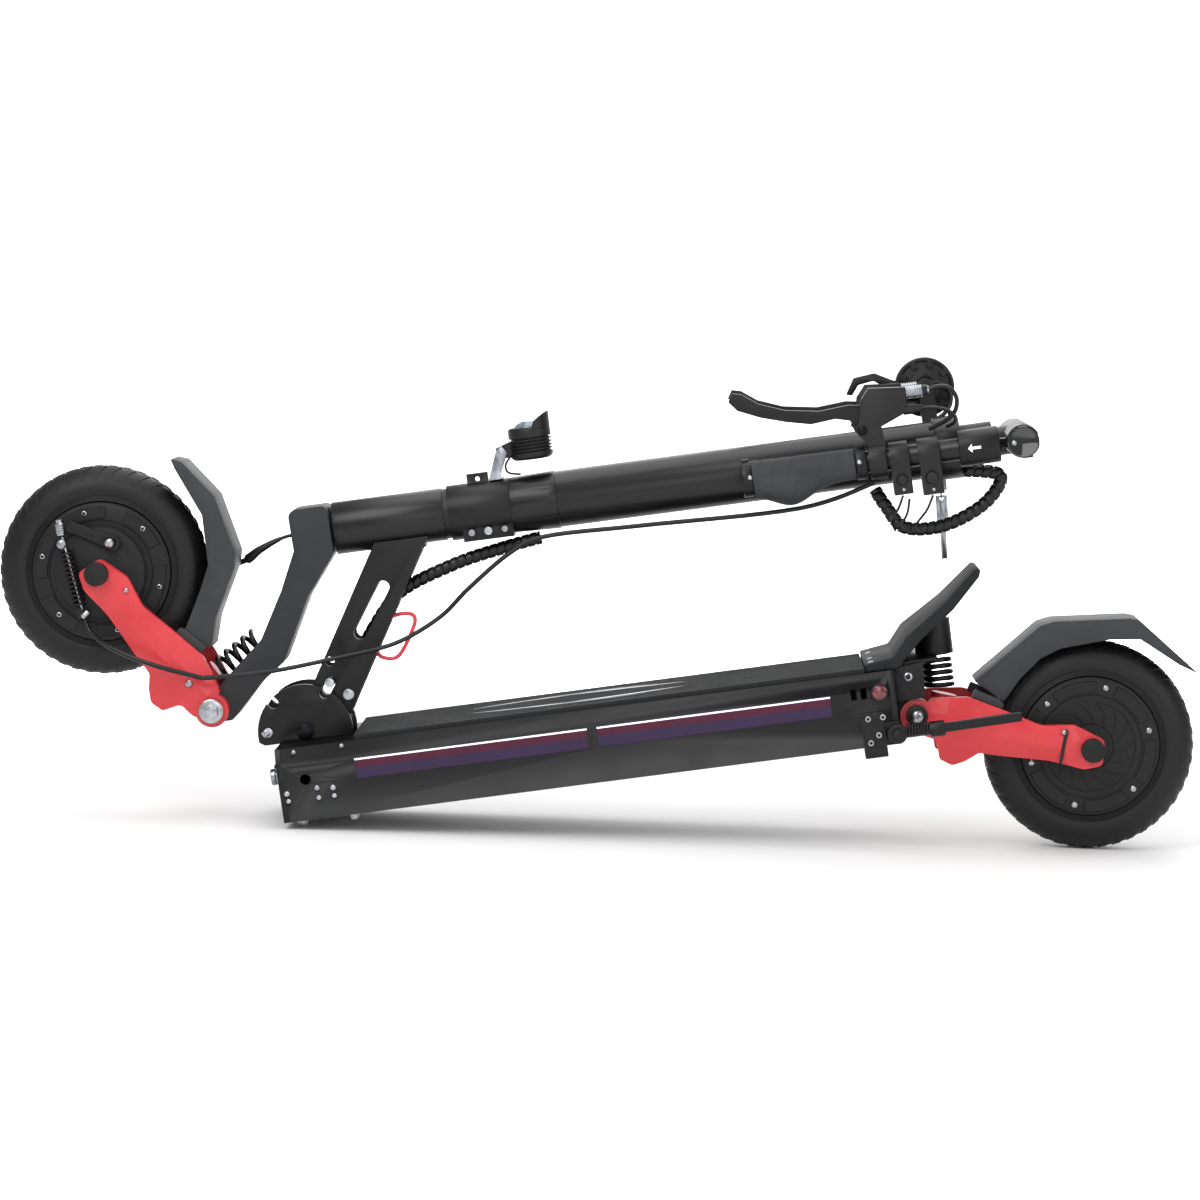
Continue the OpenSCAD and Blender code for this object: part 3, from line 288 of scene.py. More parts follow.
# Plain pale floor
material, tree, shader = newMaterial("paleFloor")
where, pattern = grainBump(tree, shader, 2.0, 0.05, 0.05)
twoTone(tree, shader, where, "#f0f0f0", "#f6f6f6", 400, 0.85, 0.95)
materials["paleFloor"] = material
floorMesh = bpy.data.meshes.new("floor")
floorShape = bmesh.new()
studio = {"near": -6, "bend": 3, "radius": 3, "halfWidth": 9, "steps": 24}
sweep = []
for i in range(studio["steps"] + 1):  # flat floor that curves up into a backdrop
    t = i / studio["steps"]
    bend = max(0, t - 0.5) * math.pi
    flat = studio["near"] + (studio["bend"] - studio["near"]) * min(t / 0.5, 1)
    sweep.append((flat + studio["radius"] * math.sin(bend), studio["radius"] * (1 - math.cos(bend))))
rows = [[floorShape.verts.new((x, y, z)) for x in (-studio["halfWidth"], studio["halfWidth"])]
        for y, z in sweep]
for a, b in zip(rows, rows[1:]):
    floorShape.faces.new((a[0], a[1], b[1], b[0]))
floorShape.to_mesh(floorMesh)
floorShape.free()
floorMesh.polygons.foreach_set("use_smooth", [True] * len(floorMesh.polygons))
floorMesh.materials.append(materials["paleFloor"])
floor = bpy.data.objects.new("floor", floorMesh)
bpy.context.collection.objects.link(floor)
print("materials", len(materials))

# Frames: millimetres in each group's own frame to metres in the row frame

deckX = Vector(joint["steering_turn"]["axis"]).normalized()
deckZ = deckX.cross(Vector((0, 1, 0))).normalized()
foldAt = Vector(joint["stem_fold"]["pos_m"])
foldPin = {"x": 0.028, "z": 0.084}  # metres in the deck's frame
origin = foldAt - foldPin["x"] * deckX - foldPin["z"] * deckZ
deck = Matrix((
    (deckX.x, 0, deckZ.x, origin.x), (deckX.y, 1, deckZ.y, origin.y), (deckX.z, 0, deckZ.z, origin.z),
    (0, 0, 0, 1))) @ Matrix.Diagonal((0.001, 0.001, 0.001, 1))


def turnY(angle):
    return Matrix.Rotation(math.radians(angle), 4, "Y")


def shift(x, y, z):
    return Matrix.Translation((x, y, z))


mirrorY = Matrix.Diagonal((1, -1, 1, 1))
mirrorZ = Matrix.Diagonal((1, 1, -1, 1))
size = {"armReach": 182, "armIn": 46, "armT": 14, "rearLean": 18.6, "frontLean": 57.8, "barDroop": 0.6}
rearPivot, frontPivot, barRoot = (651.5, 0, 23), (-60.5, 0, 121), (773.5, -52, 286.5)
rearArm = deck @ shift(*rearPivot) @ turnY(size["rearLean"])
frontArm = deck @ shift(*frontPivot) @ turnY(size["frontLean"] - 180) @ mirrorZ


def toAxle(lean, ahead):
    # from an arm's pivot to its axle, with the arm leaning down as it goes back or up as it goes ahead
    angle = math.radians(lean)
    return shift(-ahead * size["armReach"] * math.cos(angle), 0, ahead * size["armReach"] * math.sin(angle))


rearAxle = deck @ shift(*rearPivot) @ toAxle(size["rearLean"], -1)
frontAxle = deck @ shift(*frontPivot) @ toAxle(size["frontLean"], 1)
leftBar = deck @ shift(*barRoot) @ turnY(-size["barDroop"])
rightBar = deck @ mirrorY @ shift(*barRoot) @ turnY(-size["barDroop"])


# Building helpers

def finishMesh(mesh, place, smooth):
    mesh.transform(place)
    if place.determinant() < 0:
        mesh.flip_normals()
    mesh.polygons.foreach_set("use_smooth", [True] * len(mesh.polygons))
    mesh.set_sharp_from_angle(angle=math.radians(smooth))


def bakeModifiers(obj):
    # the evaluated shape becomes the object's plain mesh
    graph = bpy.context.evaluated_depsgraph_get()
    mesh = bpy.data.meshes.new_from_object(obj.evaluated_get(graph))
    old = obj.data
    obj.modifiers.clear()
    obj.data = mesh
    bpy.data.meshes.remove(old)
    return mesh


def handOver(obj, place, smooth, material, body, stands):
    # the finished mesh goes to its place, finish, body, slot and CAD nodes
    finishMesh(obj.data, place, smooth)
    obj.data.materials.clear()
    obj.data.materials.append(materials[material])
    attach(obj, body)
    if stands:
        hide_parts(*stands)
    return obj


def addPiece(name, shape, place, material, body, stands=(), bevel=0, steps=2, edgeAngle=32,
             smooth=38, levels=0, mend=True):
    if mend:
        bmesh.ops.remove_doubles(shape, verts=shape.verts, dist=1e-4)
        bmesh.ops.recalc_face_normals(shape, faces=shape.faces)
    mesh = bpy.data.meshes.new(name)
    shape.to_mesh(mesh)
    shape.free()
    obj = bpy.data.objects.new(name, mesh)
    bpy.context.collection.objects.link(obj)
    if bevel:
        edges = obj.modifiers.new("edges", "BEVEL")
        edges.width = bevel
        edges.segments = steps
        edges.limit_method = "ANGLE"
        edges.angle_limit = math.radians(edgeAngle)
        edges.use_clamp_overlap = True
    if levels:
        soft = obj.modifiers.new("soft", "SUBSURF")
        soft.levels = soft.render_levels = levels
    if bevel or levels:
        bakeModifiers(obj)
    return handOver(obj, place, smooth, material, body, stands)


def softened(node, material, bevel=0.6, steps=2, edgeAngle=34, smooth=40, name=None, levels=0):
    # a copy of the CAD piece with its edges rounded as the real part's are
    shape = bmesh.new()
    shape.from_mesh(frame["nodes"][node].data)
    shape.transform(Matrix.Scale(1000, 4))
    bmesh.ops.remove_doubles(shape, verts=shape.verts, dist=0.002)
    bmesh.ops.dissolve_limit(shape, angle_limit=math.radians(1.0), verts=shape.verts, edges=shape.edges)
    bmesh.ops.dissolve_degenerate(shape, edges=shape.edges, dist=0.01)
    return addPiece(name or node + "Body", shape, Matrix.Scale(0.001, 4), material, bodyOf[node],
                    (node,), bevel, steps, edgeAngle, smooth, levels, mend=False)


def joinRings(shape, a, b):
    # quads between two rings with the same number of points
    for i in range(len(a)):
        j = (i + 1) % len(a)
        shape.faces.new((a[i], a[j], b[j], b[i]))


def joinRows(shape, rows):
    # rings one after another, closed at both ends
    for a, b in zip(rows, rows[1:]):
        joinRings(shape, a, b)
    shape.faces.new(rows[0])
    shape.faces.new(rows[-1])


def beam(shape, section, x0, x1):
    # one (y, z) section between two X planes
    front = [shape.verts.new((x0, y, z)) for y, z in section]
    back = [shape.verts.new((x1, y, z)) for y, z in section]
    shape.faces.new(front)
    shape.faces.new(list(reversed(back)))
    joinRings(shape, back, front)


def slab(shape, points, y0, y1):
    # plate with a side outline between two Y planes
    low, high = min(y0, y1), max(y0, y1)
    near = [shape.verts.new((x, low, z)) for x, z in points]
    far = [shape.verts.new((x, high, z)) for x, z in points]
    shape.faces.new(near)
    shape.faces.new(list(reversed(far)))
    joinRings(shape, far, near)


def box(shape, low, high):
    slab(shape, [(low[0], low[2]), (high[0], low[2]), (high[0], high[2]), (low[0], high[2])], low[1], high[1])


def revolve(shape, profile, count=48, place=None, closed=True, hexRings=()):
    # profile of (radius, height) turned about Z; closed joins its ends, otherwise they lie on the axis
    place = place or Matrix.Identity(4)
    rings = []
    for k, (r, h) in enumerate(profile):
        if r < 1e-6:
            rings.append([shape.verts.new(place @ Vector((0, 0, h)))])
            continue
        ring = []
        for i in range(count):
            a = 2 * math.pi * i / count
            reach = r
            if k in hexRings:  # a flat-sided ring, as in a socket
                reach = r / math.cos((a + math.pi / 6) % (math.pi / 3) - math.pi / 6)
            ring.append(shape.verts.new(place @ Vector((reach * math.cos(a), reach * math.sin(a), h))))
        rings.append(ring)
    pairs = list(zip(rings, rings[1:])) + ([(rings[-1], rings[0])] if closed else [])
    for a, b in pairs:
        for i in range(count):
            j = (i + 1) % count
            if len(a) == 1 and len(b) == 1:
                continue
            if len(a) == 1:
                shape.faces.new((a[0], b[j], b[i]))
            elif len(b) == 1:
                shape.faces.new((a[i], a[j], b[0]))
            else:
                shape.faces.new((a[i], a[j], b[j], b[i]))


def along(axis):
    # turns Z to the given axis
    return Vector((0, 0, 1)).rotation_difference(Vector(axis)).to_matrix().to_4x4()


def rod(shape, start, end, r, count=32, chamfer=0.6):
    start, end = Vector(start), Vector(end)
    length = (end - start).length
    c = min(chamfer, length * 0.3, r * 0.5)
    revolve(shape, [(0, 0), (r - c, 0), (r, c), (r, length - c), (r - c, length), (0, length)], count,
            Matrix.Translation(start) @ along(end - start), closed=False)


def outward(x, y, z):
    # the two mirrored places on either side, with Z turned away from the middle
    return [shift(x, s * y, z) @ along((0, s, 0)) for s in (-1, 1)]


def addTurned(name, profile, count, spots, place, material, body, stands=(), smooth=35, closed=False):
    # one profile turned at each spot, as one piece
    shape = bmesh.new()
    for spot in spots:
        revolve(shape, profile, count, spot, closed)
    return addPiece(name, shape, place, material, body, stands, smooth=smooth)


def blendAcross(obj, bodyA, bodyB, start, end):
    # the piece leaves its body and is baked where it stands, tied to no body
    obj.parent = None
    obj.matrix_world = Matrix.Identity(4)
    del obj["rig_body"]
    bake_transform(obj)
    return obj


def smoothRoute(points, steps=8):
    pts = [Vector(p) for p in points]
    route = []
    for i in range(len(pts) - 1):
        a, b = pts[max(i - 1, 0)], pts[i]
        c, d = pts[i + 1], pts[min(i + 2, len(pts) - 1)]
        for k in range(steps):
            u = k / steps
            route.append(0.5 * (2 * b + (c - a) * u + (2 * a - 5 * b + 4 * c - d) * u * u
                                + (3 * b - a - 3 * c + d) * u ** 3))
    route.append(pts[-1])
    return route


def sweepTube(shape, route, radius, sides=12, closed=False):
    # radius is a number or one value for each point
    route = [Vector(p) for p in route]
    count = len(route)
    radii = radius if isinstance(radius, (list, tuple)) else [radius] * count
    heads = []
    for i in range(count):
        a = route[(i - 1) % count] if closed else route[max(i - 1, 0)]
        b = route[(i + 1) % count] if closed else route[min(i + 1, count - 1)]
        heads.append((b - a).normalized())
    normal = heads[0].orthogonal().normalized()
    rings = []
    for i in range(count):
        if i:
            normal = (heads[i - 1].rotation_difference(heads[i]) @ normal).normalized()
        other = heads[i].cross(normal)
        rings.append([shape.verts.new(route[i] + radii[i] * (math.cos(2 * math.pi * k / sides) * normal
                                                             + math.sin(2 * math.pi * k / sides) * other))
                      for k in range(sides)])
    for i in range(count if closed else count - 1):
        joinRings(shape, rings[i], rings[(i + 1) % count])
    if not closed:
        shape.faces.new(list(reversed(rings[0])))
        shape.faces.new(rings[-1])


# Geometry nodes

def newTree(name, sockets):
    tree = bpy.data.node_groups.new(name, "GeometryNodeTree")
    tree.interface.new_socket("Geometry", in_out="INPUT", socket_type="NodeSocketGeometry")
    for label, kind, value in sockets:
        socket = tree.interface.new_socket(label, in_out="INPUT", socket_type="NodeSocket" + kind)
        if value is not None:
            socket.default_value = value
    tree.interface.new_socket("Geometry", in_out="OUTPUT", socket_type="NodeSocketGeometry")
    return tree, addNode(tree, "NodeGroupInput").outputs


def closeTree(tree, given, geometry):
    real = addNode(tree, "GeometryNodeRealizeInstances", {}, {"Geometry": geometry})
    painted = addNode(tree, "GeometryNodeSetMaterial", {},
                      {"Geometry": real.outputs["Geometry"], "Material": given["Material"]})
    addNode(tree, "NodeGroupOutput", {}, {"Geometry": painted.outputs["Geometry"]})


# Fasteners: one template on every point, turned to its facing and scaled to its size
fastenerTree, given = newTree("fastenerScatter", [("Template", "Object", None), ("Material", "Material",
                                                                                 None)])
template = addNode(fastenerTree, "GeometryNodeObjectInfo", {}, {"Object": given["Template"]})
facing = addNode(fastenerTree, "GeometryNodeInputNamedAttribute", {"data_type": "FLOAT_VECTOR"},
                 {"Name": "facing"})
sizes = addNode(fastenerTree, "GeometryNodeInputNamedAttribute", {"data_type": "FLOAT"}, {"Name": "size"})
turned = addNode(fastenerTree, "FunctionNodeAlignRotationToVector", {"axis": "Z"},
                 {"Vector": facing.outputs["Attribute"]})
placed = addNode(fastenerTree, "GeometryNodeInstanceOnPoints", {}, {
    "Points": given["Geometry"], "Instance": template.outputs["Geometry"],
    "Rotation": turned.outputs["Rotation"], "Scale": sizes.outputs["Attribute"]})
closeTree(fastenerTree, given, placed.outputs["Instances"])

# Ring: a template repeated round the Z axis
ringTree, given = newTree("ringRepeat", [("Template", "Object", None), ("Count", "Int", 12),
                                         ("Phase", "Float", 0.0),
                                         ("Material", "Material", None)])
template = addNode(ringTree, "GeometryNodeObjectInfo", {}, {"Object": given["Template"]})
points = addNode(ringTree, "GeometryNodeMeshLine", {}, {"Count": given["Count"], "Offset": (0, 0, 0)})
index = addNode(ringTree, "GeometryNodeInputIndex")
part = addNode(ringTree, "ShaderNodeMath", {"operation": "DIVIDE"},
               {0: index.outputs["Index"], 1: given["Count"]})
turn = addNode(ringTree, "ShaderNodeMath", {"operation": "MULTIPLY_ADD"},
               {0: part.outputs[0], 1: 2 * math.pi, 2: given["Phase"]})
angles = addNode(ringTree, "ShaderNodeCombineXYZ", {}, {"Z": turn.outputs[0]})
placed = addNode(ringTree, "GeometryNodeInstanceOnPoints", {}, {
    "Points": points.outputs["Mesh"], "Instance": template.outputs["Geometry"],
    "Rotation": angles.outputs["Vector"]})
closeTree(ringTree, given, placed.outputs["Instances"])

# Coil spring: a spiral with a round wire
coilTree, given = newTree("coilSpring", [("Turns", "Float", 4.5), ("Radius", "Float", 14.0),
                                         ("Wire", "Float", 2.6),
                                         ("Height", "Float", 30.0), ("Material", "Material", None)])
spiral = addNode(coilTree, "GeometryNodeCurveSpiral", {}, {
    "Resolution": 32, "Rotations": given["Turns"], "Start Radius": given["Radius"],
    "End Radius": given["Radius"],
    "Height": given["Height"]})
wire = addNode(coilTree, "GeometryNodeCurvePrimitiveCircle", {"mode": "RADIUS"},
               {"Resolution": 14, "Radius": given["Wire"]})
coil = addNode(coilTree, "GeometryNodeCurveToMesh", {}, {
    "Curve": spiral.outputs["Curve"], "Profile Curve": wire.outputs["Curve"], "Fill Caps": True})
closeTree(coilTree, given, coil.outputs["Mesh"])

# Spiral wrap: a tube along a route with a raised band wound round it
wrapTree, given = newTree("spiralWrap", [("Radius", "Float", 5.5), ("Band", "Float", 1.3),
                                         ("Pitch", "Float", 8.0),
                                         ("Share", "Float", 0.74), ("Material", "Material", None)])
curve = addNode(wrapTree, "GeometryNodeMeshToCurve", {}, {"Mesh": given["Geometry"]})
fine = addNode(wrapTree, "GeometryNodeResampleCurve", {"mode": "LENGTH"},
               {"Curve": curve.outputs["Curve"], "Length": 0.9})
spline = addNode(wrapTree, "GeometryNodeSplineParameter")
marked = addNode(wrapTree, "GeometryNodeStoreNamedAttribute", {"data_type": "FLOAT", "domain": "POINT"},
                 {"Geometry": fine.outputs["Curve"], "Name": "run", "Value": spline.outputs["Length"]})
circle = addNode(wrapTree, "GeometryNodeCurvePrimitiveCircle", {"mode": "RADIUS"},
                 {"Resolution": 28, "Radius": given["Radius"]})
around = addNode(wrapTree, "GeometryNodeStoreNamedAttribute", {"data_type": "FLOAT", "domain": "POINT"},
                 {"Geometry": circle.outputs["Curve"], "Name": "around", "Value": spline.outputs["Factor"]})
tube = addNode(wrapTree, "GeometryNodeCurveToMesh", {}, {
    "Curve": marked.outputs["Geometry"], "Profile Curve": around.outputs["Geometry"], "Fill Caps": True})
run = addNode(wrapTree, "GeometryNodeInputNamedAttribute", {"data_type": "FLOAT"}, {"Name": "run"})
turnAt = addNode(wrapTree, "GeometryNodeInputNamedAttribute", {"data_type": "FLOAT"}, {"Name": "around"})
pitches = addNode(wrapTree, "ShaderNodeMath", {"operation": "DIVIDE"},
                  {0: run.outputs["Attribute"], 1: given["Pitch"]})
wound = addNode(wrapTree, "ShaderNodeMath", {"operation": "ADD"},
                {0: pitches.outputs[0], 1: turnAt.outputs["Attribute"]})
saw = addNode(wrapTree, "ShaderNodeMath", {"operation": "FRACT"}, {0: wound.outputs[0]})
centred = addNode(wrapTree, "ShaderNodeMath", {"operation": "SUBTRACT"}, {0: saw.outputs[0], 1: 0.5})
away = addNode(wrapTree, "ShaderNodeMath", {"operation": "ABSOLUTE"}, {0: centred.outputs[0]})
halfShare = addNode(wrapTree, "ShaderNodeMath", {"operation": "MULTIPLY"}, {0: given["Share"], 1: 0.5})
outer = addNode(wrapTree, "ShaderNodeMath", {"operation": "ADD"}, {0: halfShare.outputs[0], 1: 0.06})
raised = addNode(wrapTree, "ShaderNodeMapRange", {"interpolation_type": "SMOOTHSTEP"}, {
    "Value": away.outputs[0], "From Min": outer.outputs[0], "From Max": halfShare.outputs[0], "To Min": 0.0,
    "To Max": given["Band"]})
normal = addNode(wrapTree, "GeometryNodeInputNormal")
push = addNode(wrapTree, "ShaderNodeVectorMath", {"operation": "SCALE"},
               {0: normal.outputs["Normal"], "Scale": raised.outputs["Result"]})
moved = addNode(wrapTree, "GeometryNodeSetPosition", {},
                {"Geometry": tube.outputs["Mesh"], "Offset": push.outputs["Vector"]})
closeTree(wrapTree, given, moved.outputs["Geometry"])
print("geometry node trees", len(bpy.data.node_groups))


def grow(name, tree, base, values, place, material, body, stands=(), smooth=40):
    # runs a tree on a base mesh in millimetres and keeps the plain result
    mesh = bpy.data.meshes.new(name)
    if base:
        verts, edges, facings, scales = base
        mesh.from_pydata(verts, edges, [])
        if facings:
            mesh.attributes.new("facing", "FLOAT_VECTOR", "POINT").data.foreach_set(
                "vector", [c for f in facings for c in f])
            mesh.attributes.new("size", "FLOAT", "POINT").data.foreach_set("value", scales)
    obj = bpy.data.objects.new(name, mesh)
    bpy.context.collection.objects.link(obj)
    nodes = obj.modifiers.new("grow", "NODES")
    nodes.node_group = tree
    values = {**values, "Material": materials[material]}
    for item in tree.interface.items_tree:
        if item.in_out == "INPUT" and item.name in values:
            nodes[item.identifier] = values[item.name]
    mesh = bakeModifiers(obj)
    for label in ("facing", "size", "run", "around"):
        if label in mesh.attributes:
            mesh.attributes.remove(mesh.attributes[label])
    return handOver(obj, place, smooth, material, body, stands)


def templateObject(name, shape):
    bmesh.ops.remove_doubles(shape, verts=shape.verts, dist=1e-5)
    bmesh.ops.recalc_face_normals(shape, faces=shape.faces)
    mesh = bpy.data.meshes.new(name)
    shape.to_mesh(mesh)
    shape.free()
    return bpy.data.objects.new(name, mesh)  # never linked, so it isn't part of the scene


def screwTemplate(name, profile, hexRings):
    shape = bmesh.new()
    revolve(shape, profile, 24, closed=False, hexRings=hexRings)
    return templateObject(name, shape)


screws = {  # head shapes of radius 1, seat at 0
    "dome": screwTemplate("domeHead", [(0, 0.2), (0.42, 0.2), (0.42, 0.62), (0.62, 0.56), (0.85, 0.36),
                                       (1, 0.1),
                                       (1, 0), (0, 0)], (1, 2)),
    "cap": screwTemplate("capHead", [(0, 0.25), (0.5, 0.25), (0.5, 0.95), (0.55, 1.0), (0.93, 1.0),
                                     (1, 0.92), (1, 0),
                                     (0, 0)], (1, 2)),
    "hex": screwTemplate("hexHead", [(0, 0.72), (0.6, 0.72), (0.78, 0.66), (0.86, 0.56), (0.86, 0), (0, 0)],
                         (2, 3, 4)),
}


def addScrews(name, kind, material, body, place, points):
    # points are (x, y, z, facing, radius) in the frame's millimetres
    grow(name, fastenerTree, ([p[:3] for p in points], [], [p[3] for p in points],
                              [float(p[4]) for p in points]),
         {"Template": screws[kind]}, place, material, body, smooth=35)


near, far = (0, -1, 0), (0, 1, 0)


def bothSides(points):
    return [p for x, y, z, r in points for p in ((x, -y, z, near, r), (x, y, z, far, r))]


# Wheels

wheel = {"treadCount": 44, "treadRise": 1.0, "sideRings": (72.5, 75.0, 77.5), "fins": 15, "pads": 6,
         "screwR": 62,
         "screwPhase": 8}
toSide = Matrix.Rotation(math.radians(90), 4, "X")  # Z of a turned shape to the near side


def crown(h, base=107.0):
    # tyre radius at a distance h from its middle
    return 83 + (base - 83) * math.sqrt(max(0.0, 1 - (abs(h) / 24.6) ** 2.3)) if abs(h) < 24.6 else 83


def tyreShape():
    half = []
    for k in range(13):
        h = 24.2 * math.sin(math.pi / 2 * k / 12)
        half.append((crown(h), h))
    sidewall = [(88, 24.6), (84, 24.9), (80.6, 24.6)]
    for r in reversed(wheel["sideRings"]):
        sidewall += [(r + 1.0, 23.9), (r + 0.55, 24.5), (r - 0.1, 24.4), (r - 0.5, 23.7)]
    sidewall += [(70.5, 22.9), (68, 21), (65.5, 19.5), (64.1, 17)]
    half = [p for p in half if p[0] > 89] + sidewall
    side = [(107.0, 2.0)] + [p for p in half if p[1] > 2.5]
    full = [(r, -h) for r, h in reversed(side)] + [(105.6, -0.9), (105.6, 0.9)] + side
    shape = bmesh.new()
    revolve(shape, full, 160, toSide, closed=True)
    return shape


def treadTemplate(sign):
    # a slanted block that wraps from the middle of the tread over the shoulder
    shape = bmesh.new()
    rows = []
    for k in range(7):
        h = 3.2 + 18.6 * k / 6
        lean = 0.085 * (k / 6) ** 1.5
        width = 0.042 * (1 - 0.25 * k / 6)
        rise = wheel["treadRise"] * (1 - 0.35 * k / 6)
        row = []
        for a, lift in ((lean - width, -0.6), (lean - width * 0.8, rise), (lean + width * 0.8, rise),
                        (lean + width, -0.6)):
            r = crown(h) + lift
            row.append(shape.verts.new((r * math.cos(a * sign), r * math.sin(a * sign), h * sign)))
        rows.append(row)
    joinRows(shape, rows)
    return templateObject("treadBlock", shape)


def hubShape():
    face = [(8.2, 29.4), (19, 29.4), (20, 28.6), (23, 28.6), (24, 29.2), (45.5, 29.2), (46.5, 28.2),
            (52.5, 28.2),
            (53.5, 29.0), (67, 29.0), (69, 28.0), (69, 26.9), (70.9, 26.5), (70.9, 23.9), (63.9, 23.9)]
    shape = bmesh.new()
    revolve(shape, face + [(r, -h) for r, h in reversed(face)], 128, toSide, closed=True)
    return shape


def arcPad(inner, outer, a0, a1, low, high, draft=0.8):
    shape = bmesh.new()
    rings = []
    for k in range(9):
        a = math.radians(a0 + (a1 - a0) * k / 8)
        inset = draft if k in (0, 8) else 0
        row = []
        for r, h in ((inner, low), (inner + draft, high), (outer - draft, high), (outer, low)):
            t = a + (math.radians(inset) * (1 if k == 0 else -1) if h == high else 0)
            row.append(shape.verts.new((r * math.cos(t), r * math.sin(t), h)))
        rings.append(row)
    joinRows(shape, rings)
    return templateObject("arcPad", shape)


def finTemplate():
    # swept cooling fin on the motor cover
    shape = bmesh.new()
    route = [Vector((r * math.cos(a), r * math.sin(a), 29.0)) for r, a in
             ((26, 0.0), (31, 0.05), (36, 0.14), (41, 0.26), (44.5, 0.38))]
    sweepTube(shape, smoothRoute(route, 3), 0.9, 6)
    return templateObject("coverFin", shape)


pad = arcPad(54.5, 67.5, 9, 51, 28.6, 30.2)
fin = finTemplate()
for name, place in (("rear", rearAxle), ("front", frontAxle)):
    body = name + "_wheel"
    addPiece(name + "Tyre", tyreShape(), place, "tyreRubber", body, (name + "_tyre",),
             smooth=50)
    for label, sign in (("Near", 1), ("Far", -1)):
        grow(name + "Tread" + label, ringTree, None,
             {"Template": treadTemplate(sign), "Count": wheel["treadCount"],
              "Phase": 0.0 if sign > 0 else 0.07},
             place @ toSide, "tyreRubber", body, smooth=30)
    addPiece(name + "Hub", hubShape(), place, "mattHubPaint", body, (name + "_hub",),
             smooth=30)
    for label, flip in (("Near", toSide), ("Far", toSide @ Matrix.Rotation(math.pi, 4, "X"))):
        grow(name + "Pads" + label, ringTree, None,
             {"Template": pad, "Count": wheel["pads"], "Phase": math.radians(wheel["screwPhase"])},
             place @ flip, "mattHubPaint", body, smooth=25)
        if name == "rear" or label == "Far":
            grow(name + "Fins" + label, ringTree, None,
                 {"Template": fin, "Count": wheel["fins"], "Phase": 0.1},
                 place @ flip, "mattHubPaint", body, smooth=40)
    ring = [math.radians(60 * k + (wheel["screwPhase"] if name == "rear" else -22)) for k in range(6)]
    spots = bothSides([(wheel["screwR"] * math.cos(a), 28.4, wheel["screwR"] * math.sin(a),
                        3.6) for a in ring])
    addScrews(name + "HubScrews", "dome", "zincPlatedSteel", body, place, spots)
print("wheels")

# Springs, looms and cables


def addCoil(name, coil, start, end, body, stands=(), short=0):
    # coil gives turns, radius to the middle of the wire and wire radius
    start, end = Vector(start), Vector(end)
    grow(name, coilTree, None, {**coil, "Height": (end - start).length - short},
         deck @ Matrix.Translation(start) @ along(end - start), "blackSpringSteel", body,
         stands)


coils = {
    "rear": {"Turns": 4.5, "Radius": 14.4, "Wire": 2.6}, "front": {"Turns": 4.5, "Radius": 11.4, "Wire": 2.6},
    "brake": {"Turns": 12.0, "Radius": 5.2, "Wire": 1.1}, "stand": {"Turns": 8.0, "Radius": 6.2, "Wire": 1.0}}
addCoil("rearCoil", coils["rear"], (679.5, 0, 44.5), (679.5, 0, 73.7), "deck", ("rear_spring",))
addCoil("frontCoil", coils["front"], (-53.3, 0, 157.2), (-8, 0, 184), "steering", ("front_spring",), 3)


def routeBase(points, steps=8):
    route = smoothRoute(points, steps)
    return [tuple(p) for p in route], [(i, i + 1) for i in range(len(route) - 1)], None, None


loom = {"radius": 5.7, "band": 1.3, "pitch": 8.5}
cockpitRoute = [(733.6, -22, 262), (768, -22, 252), (749, -20, 226), (706, -20, 209), (665, -20, 212),
                (648, -18, 237), (640, -14, 253)]
stemRoute = [(293, 0, 249.2), (250, 0, 243), (200, 0, 233), (142, 0, 212), (108, 0, 177)]
footRoute = [(108, 0, 177), (84, 0, 140), (74, 0, 110), (66, 0, 84), (65.5, 0, 76.3)]
wrap = {"Radius": loom["radius"], "Band": loom["band"], "Pitch": loom["pitch"]}
grow("cockpitLoom", wrapTree, routeBase(cockpitRoute), wrap, deck, "loomWrapPolyethylene", "steering",
     ("spiral_loom",), smooth=60)


def growBlended(name, route, bodyA, bodyB, start, end):
    obj = grow(name, wrapTree, routeBase(route), wrap, deck, "loomWrapPolyethylene", bodyA,
               smooth=60)
    return blendAcross(obj, bodyA, bodyB, start, end)


growBlended("stemLoom", stemRoute, "arm", "steering", (150, 0, 214), (250, 0, 243))
growBlended("footLoom", footRoute, "deck", "arm", (66, 0, 80), (90, 0, 150))


def addCable(name, points, radius, body, place=None, sides=12, steps=8, material="cableSheathPvc",
             blendTo=None,
             stands=()):
    shape = bmesh.new()
    sweepTube(shape, smoothRoute(points, steps), radius, sides)
    obj = addPiece(name, shape, place or deck, material, body, stands, smooth=50)
    return blendAcross(obj, body, *blendTo) if blendTo else obj


brakeRoute = [(640, -30, 262), (560, -30, 246), (400, -36, 250), (300, -38, 252), (262, -40, 240),
              (216, -40, 210),
              (182, -40, 184), (134, -44, 164), (80, -50, 158), (5, -58, 153), (-64, -68, 156)]
brakeTail = [(-64, -68, 156), (-112, -70, 176), (-150, -62, 196), (-174, -45, 215), (-179.6, -39, 231.2)]
addCable("frontBrakeCable", brakeRoute, 2.5, "steering", stands=("cables",))
addCable("frontBrakeTail", brakeTail, 2.5, "steering", blendTo=("front_arm", (-64, -68, 156), (-150, -62,
                                                                                               196)))
leadRoute = [(46, 35.3, 284), (24, 36, 281), (0, 36, 272), (-20, 40, 262), (-60, 43, 258), (-110, 43, 268),
             (-135, 42.4, 276)]
addCable("motorLead", leadRoute, [1.9] * 9 + [2.6 + 0.22 * k for k in range(14)] + [3.0] * 26, "steering",
         blendTo=("front_arm", (0, 36, 272), (-60, 43, 258)), steps=8)
print("springs, looms and cables")

# Carried pieces with rounded edges

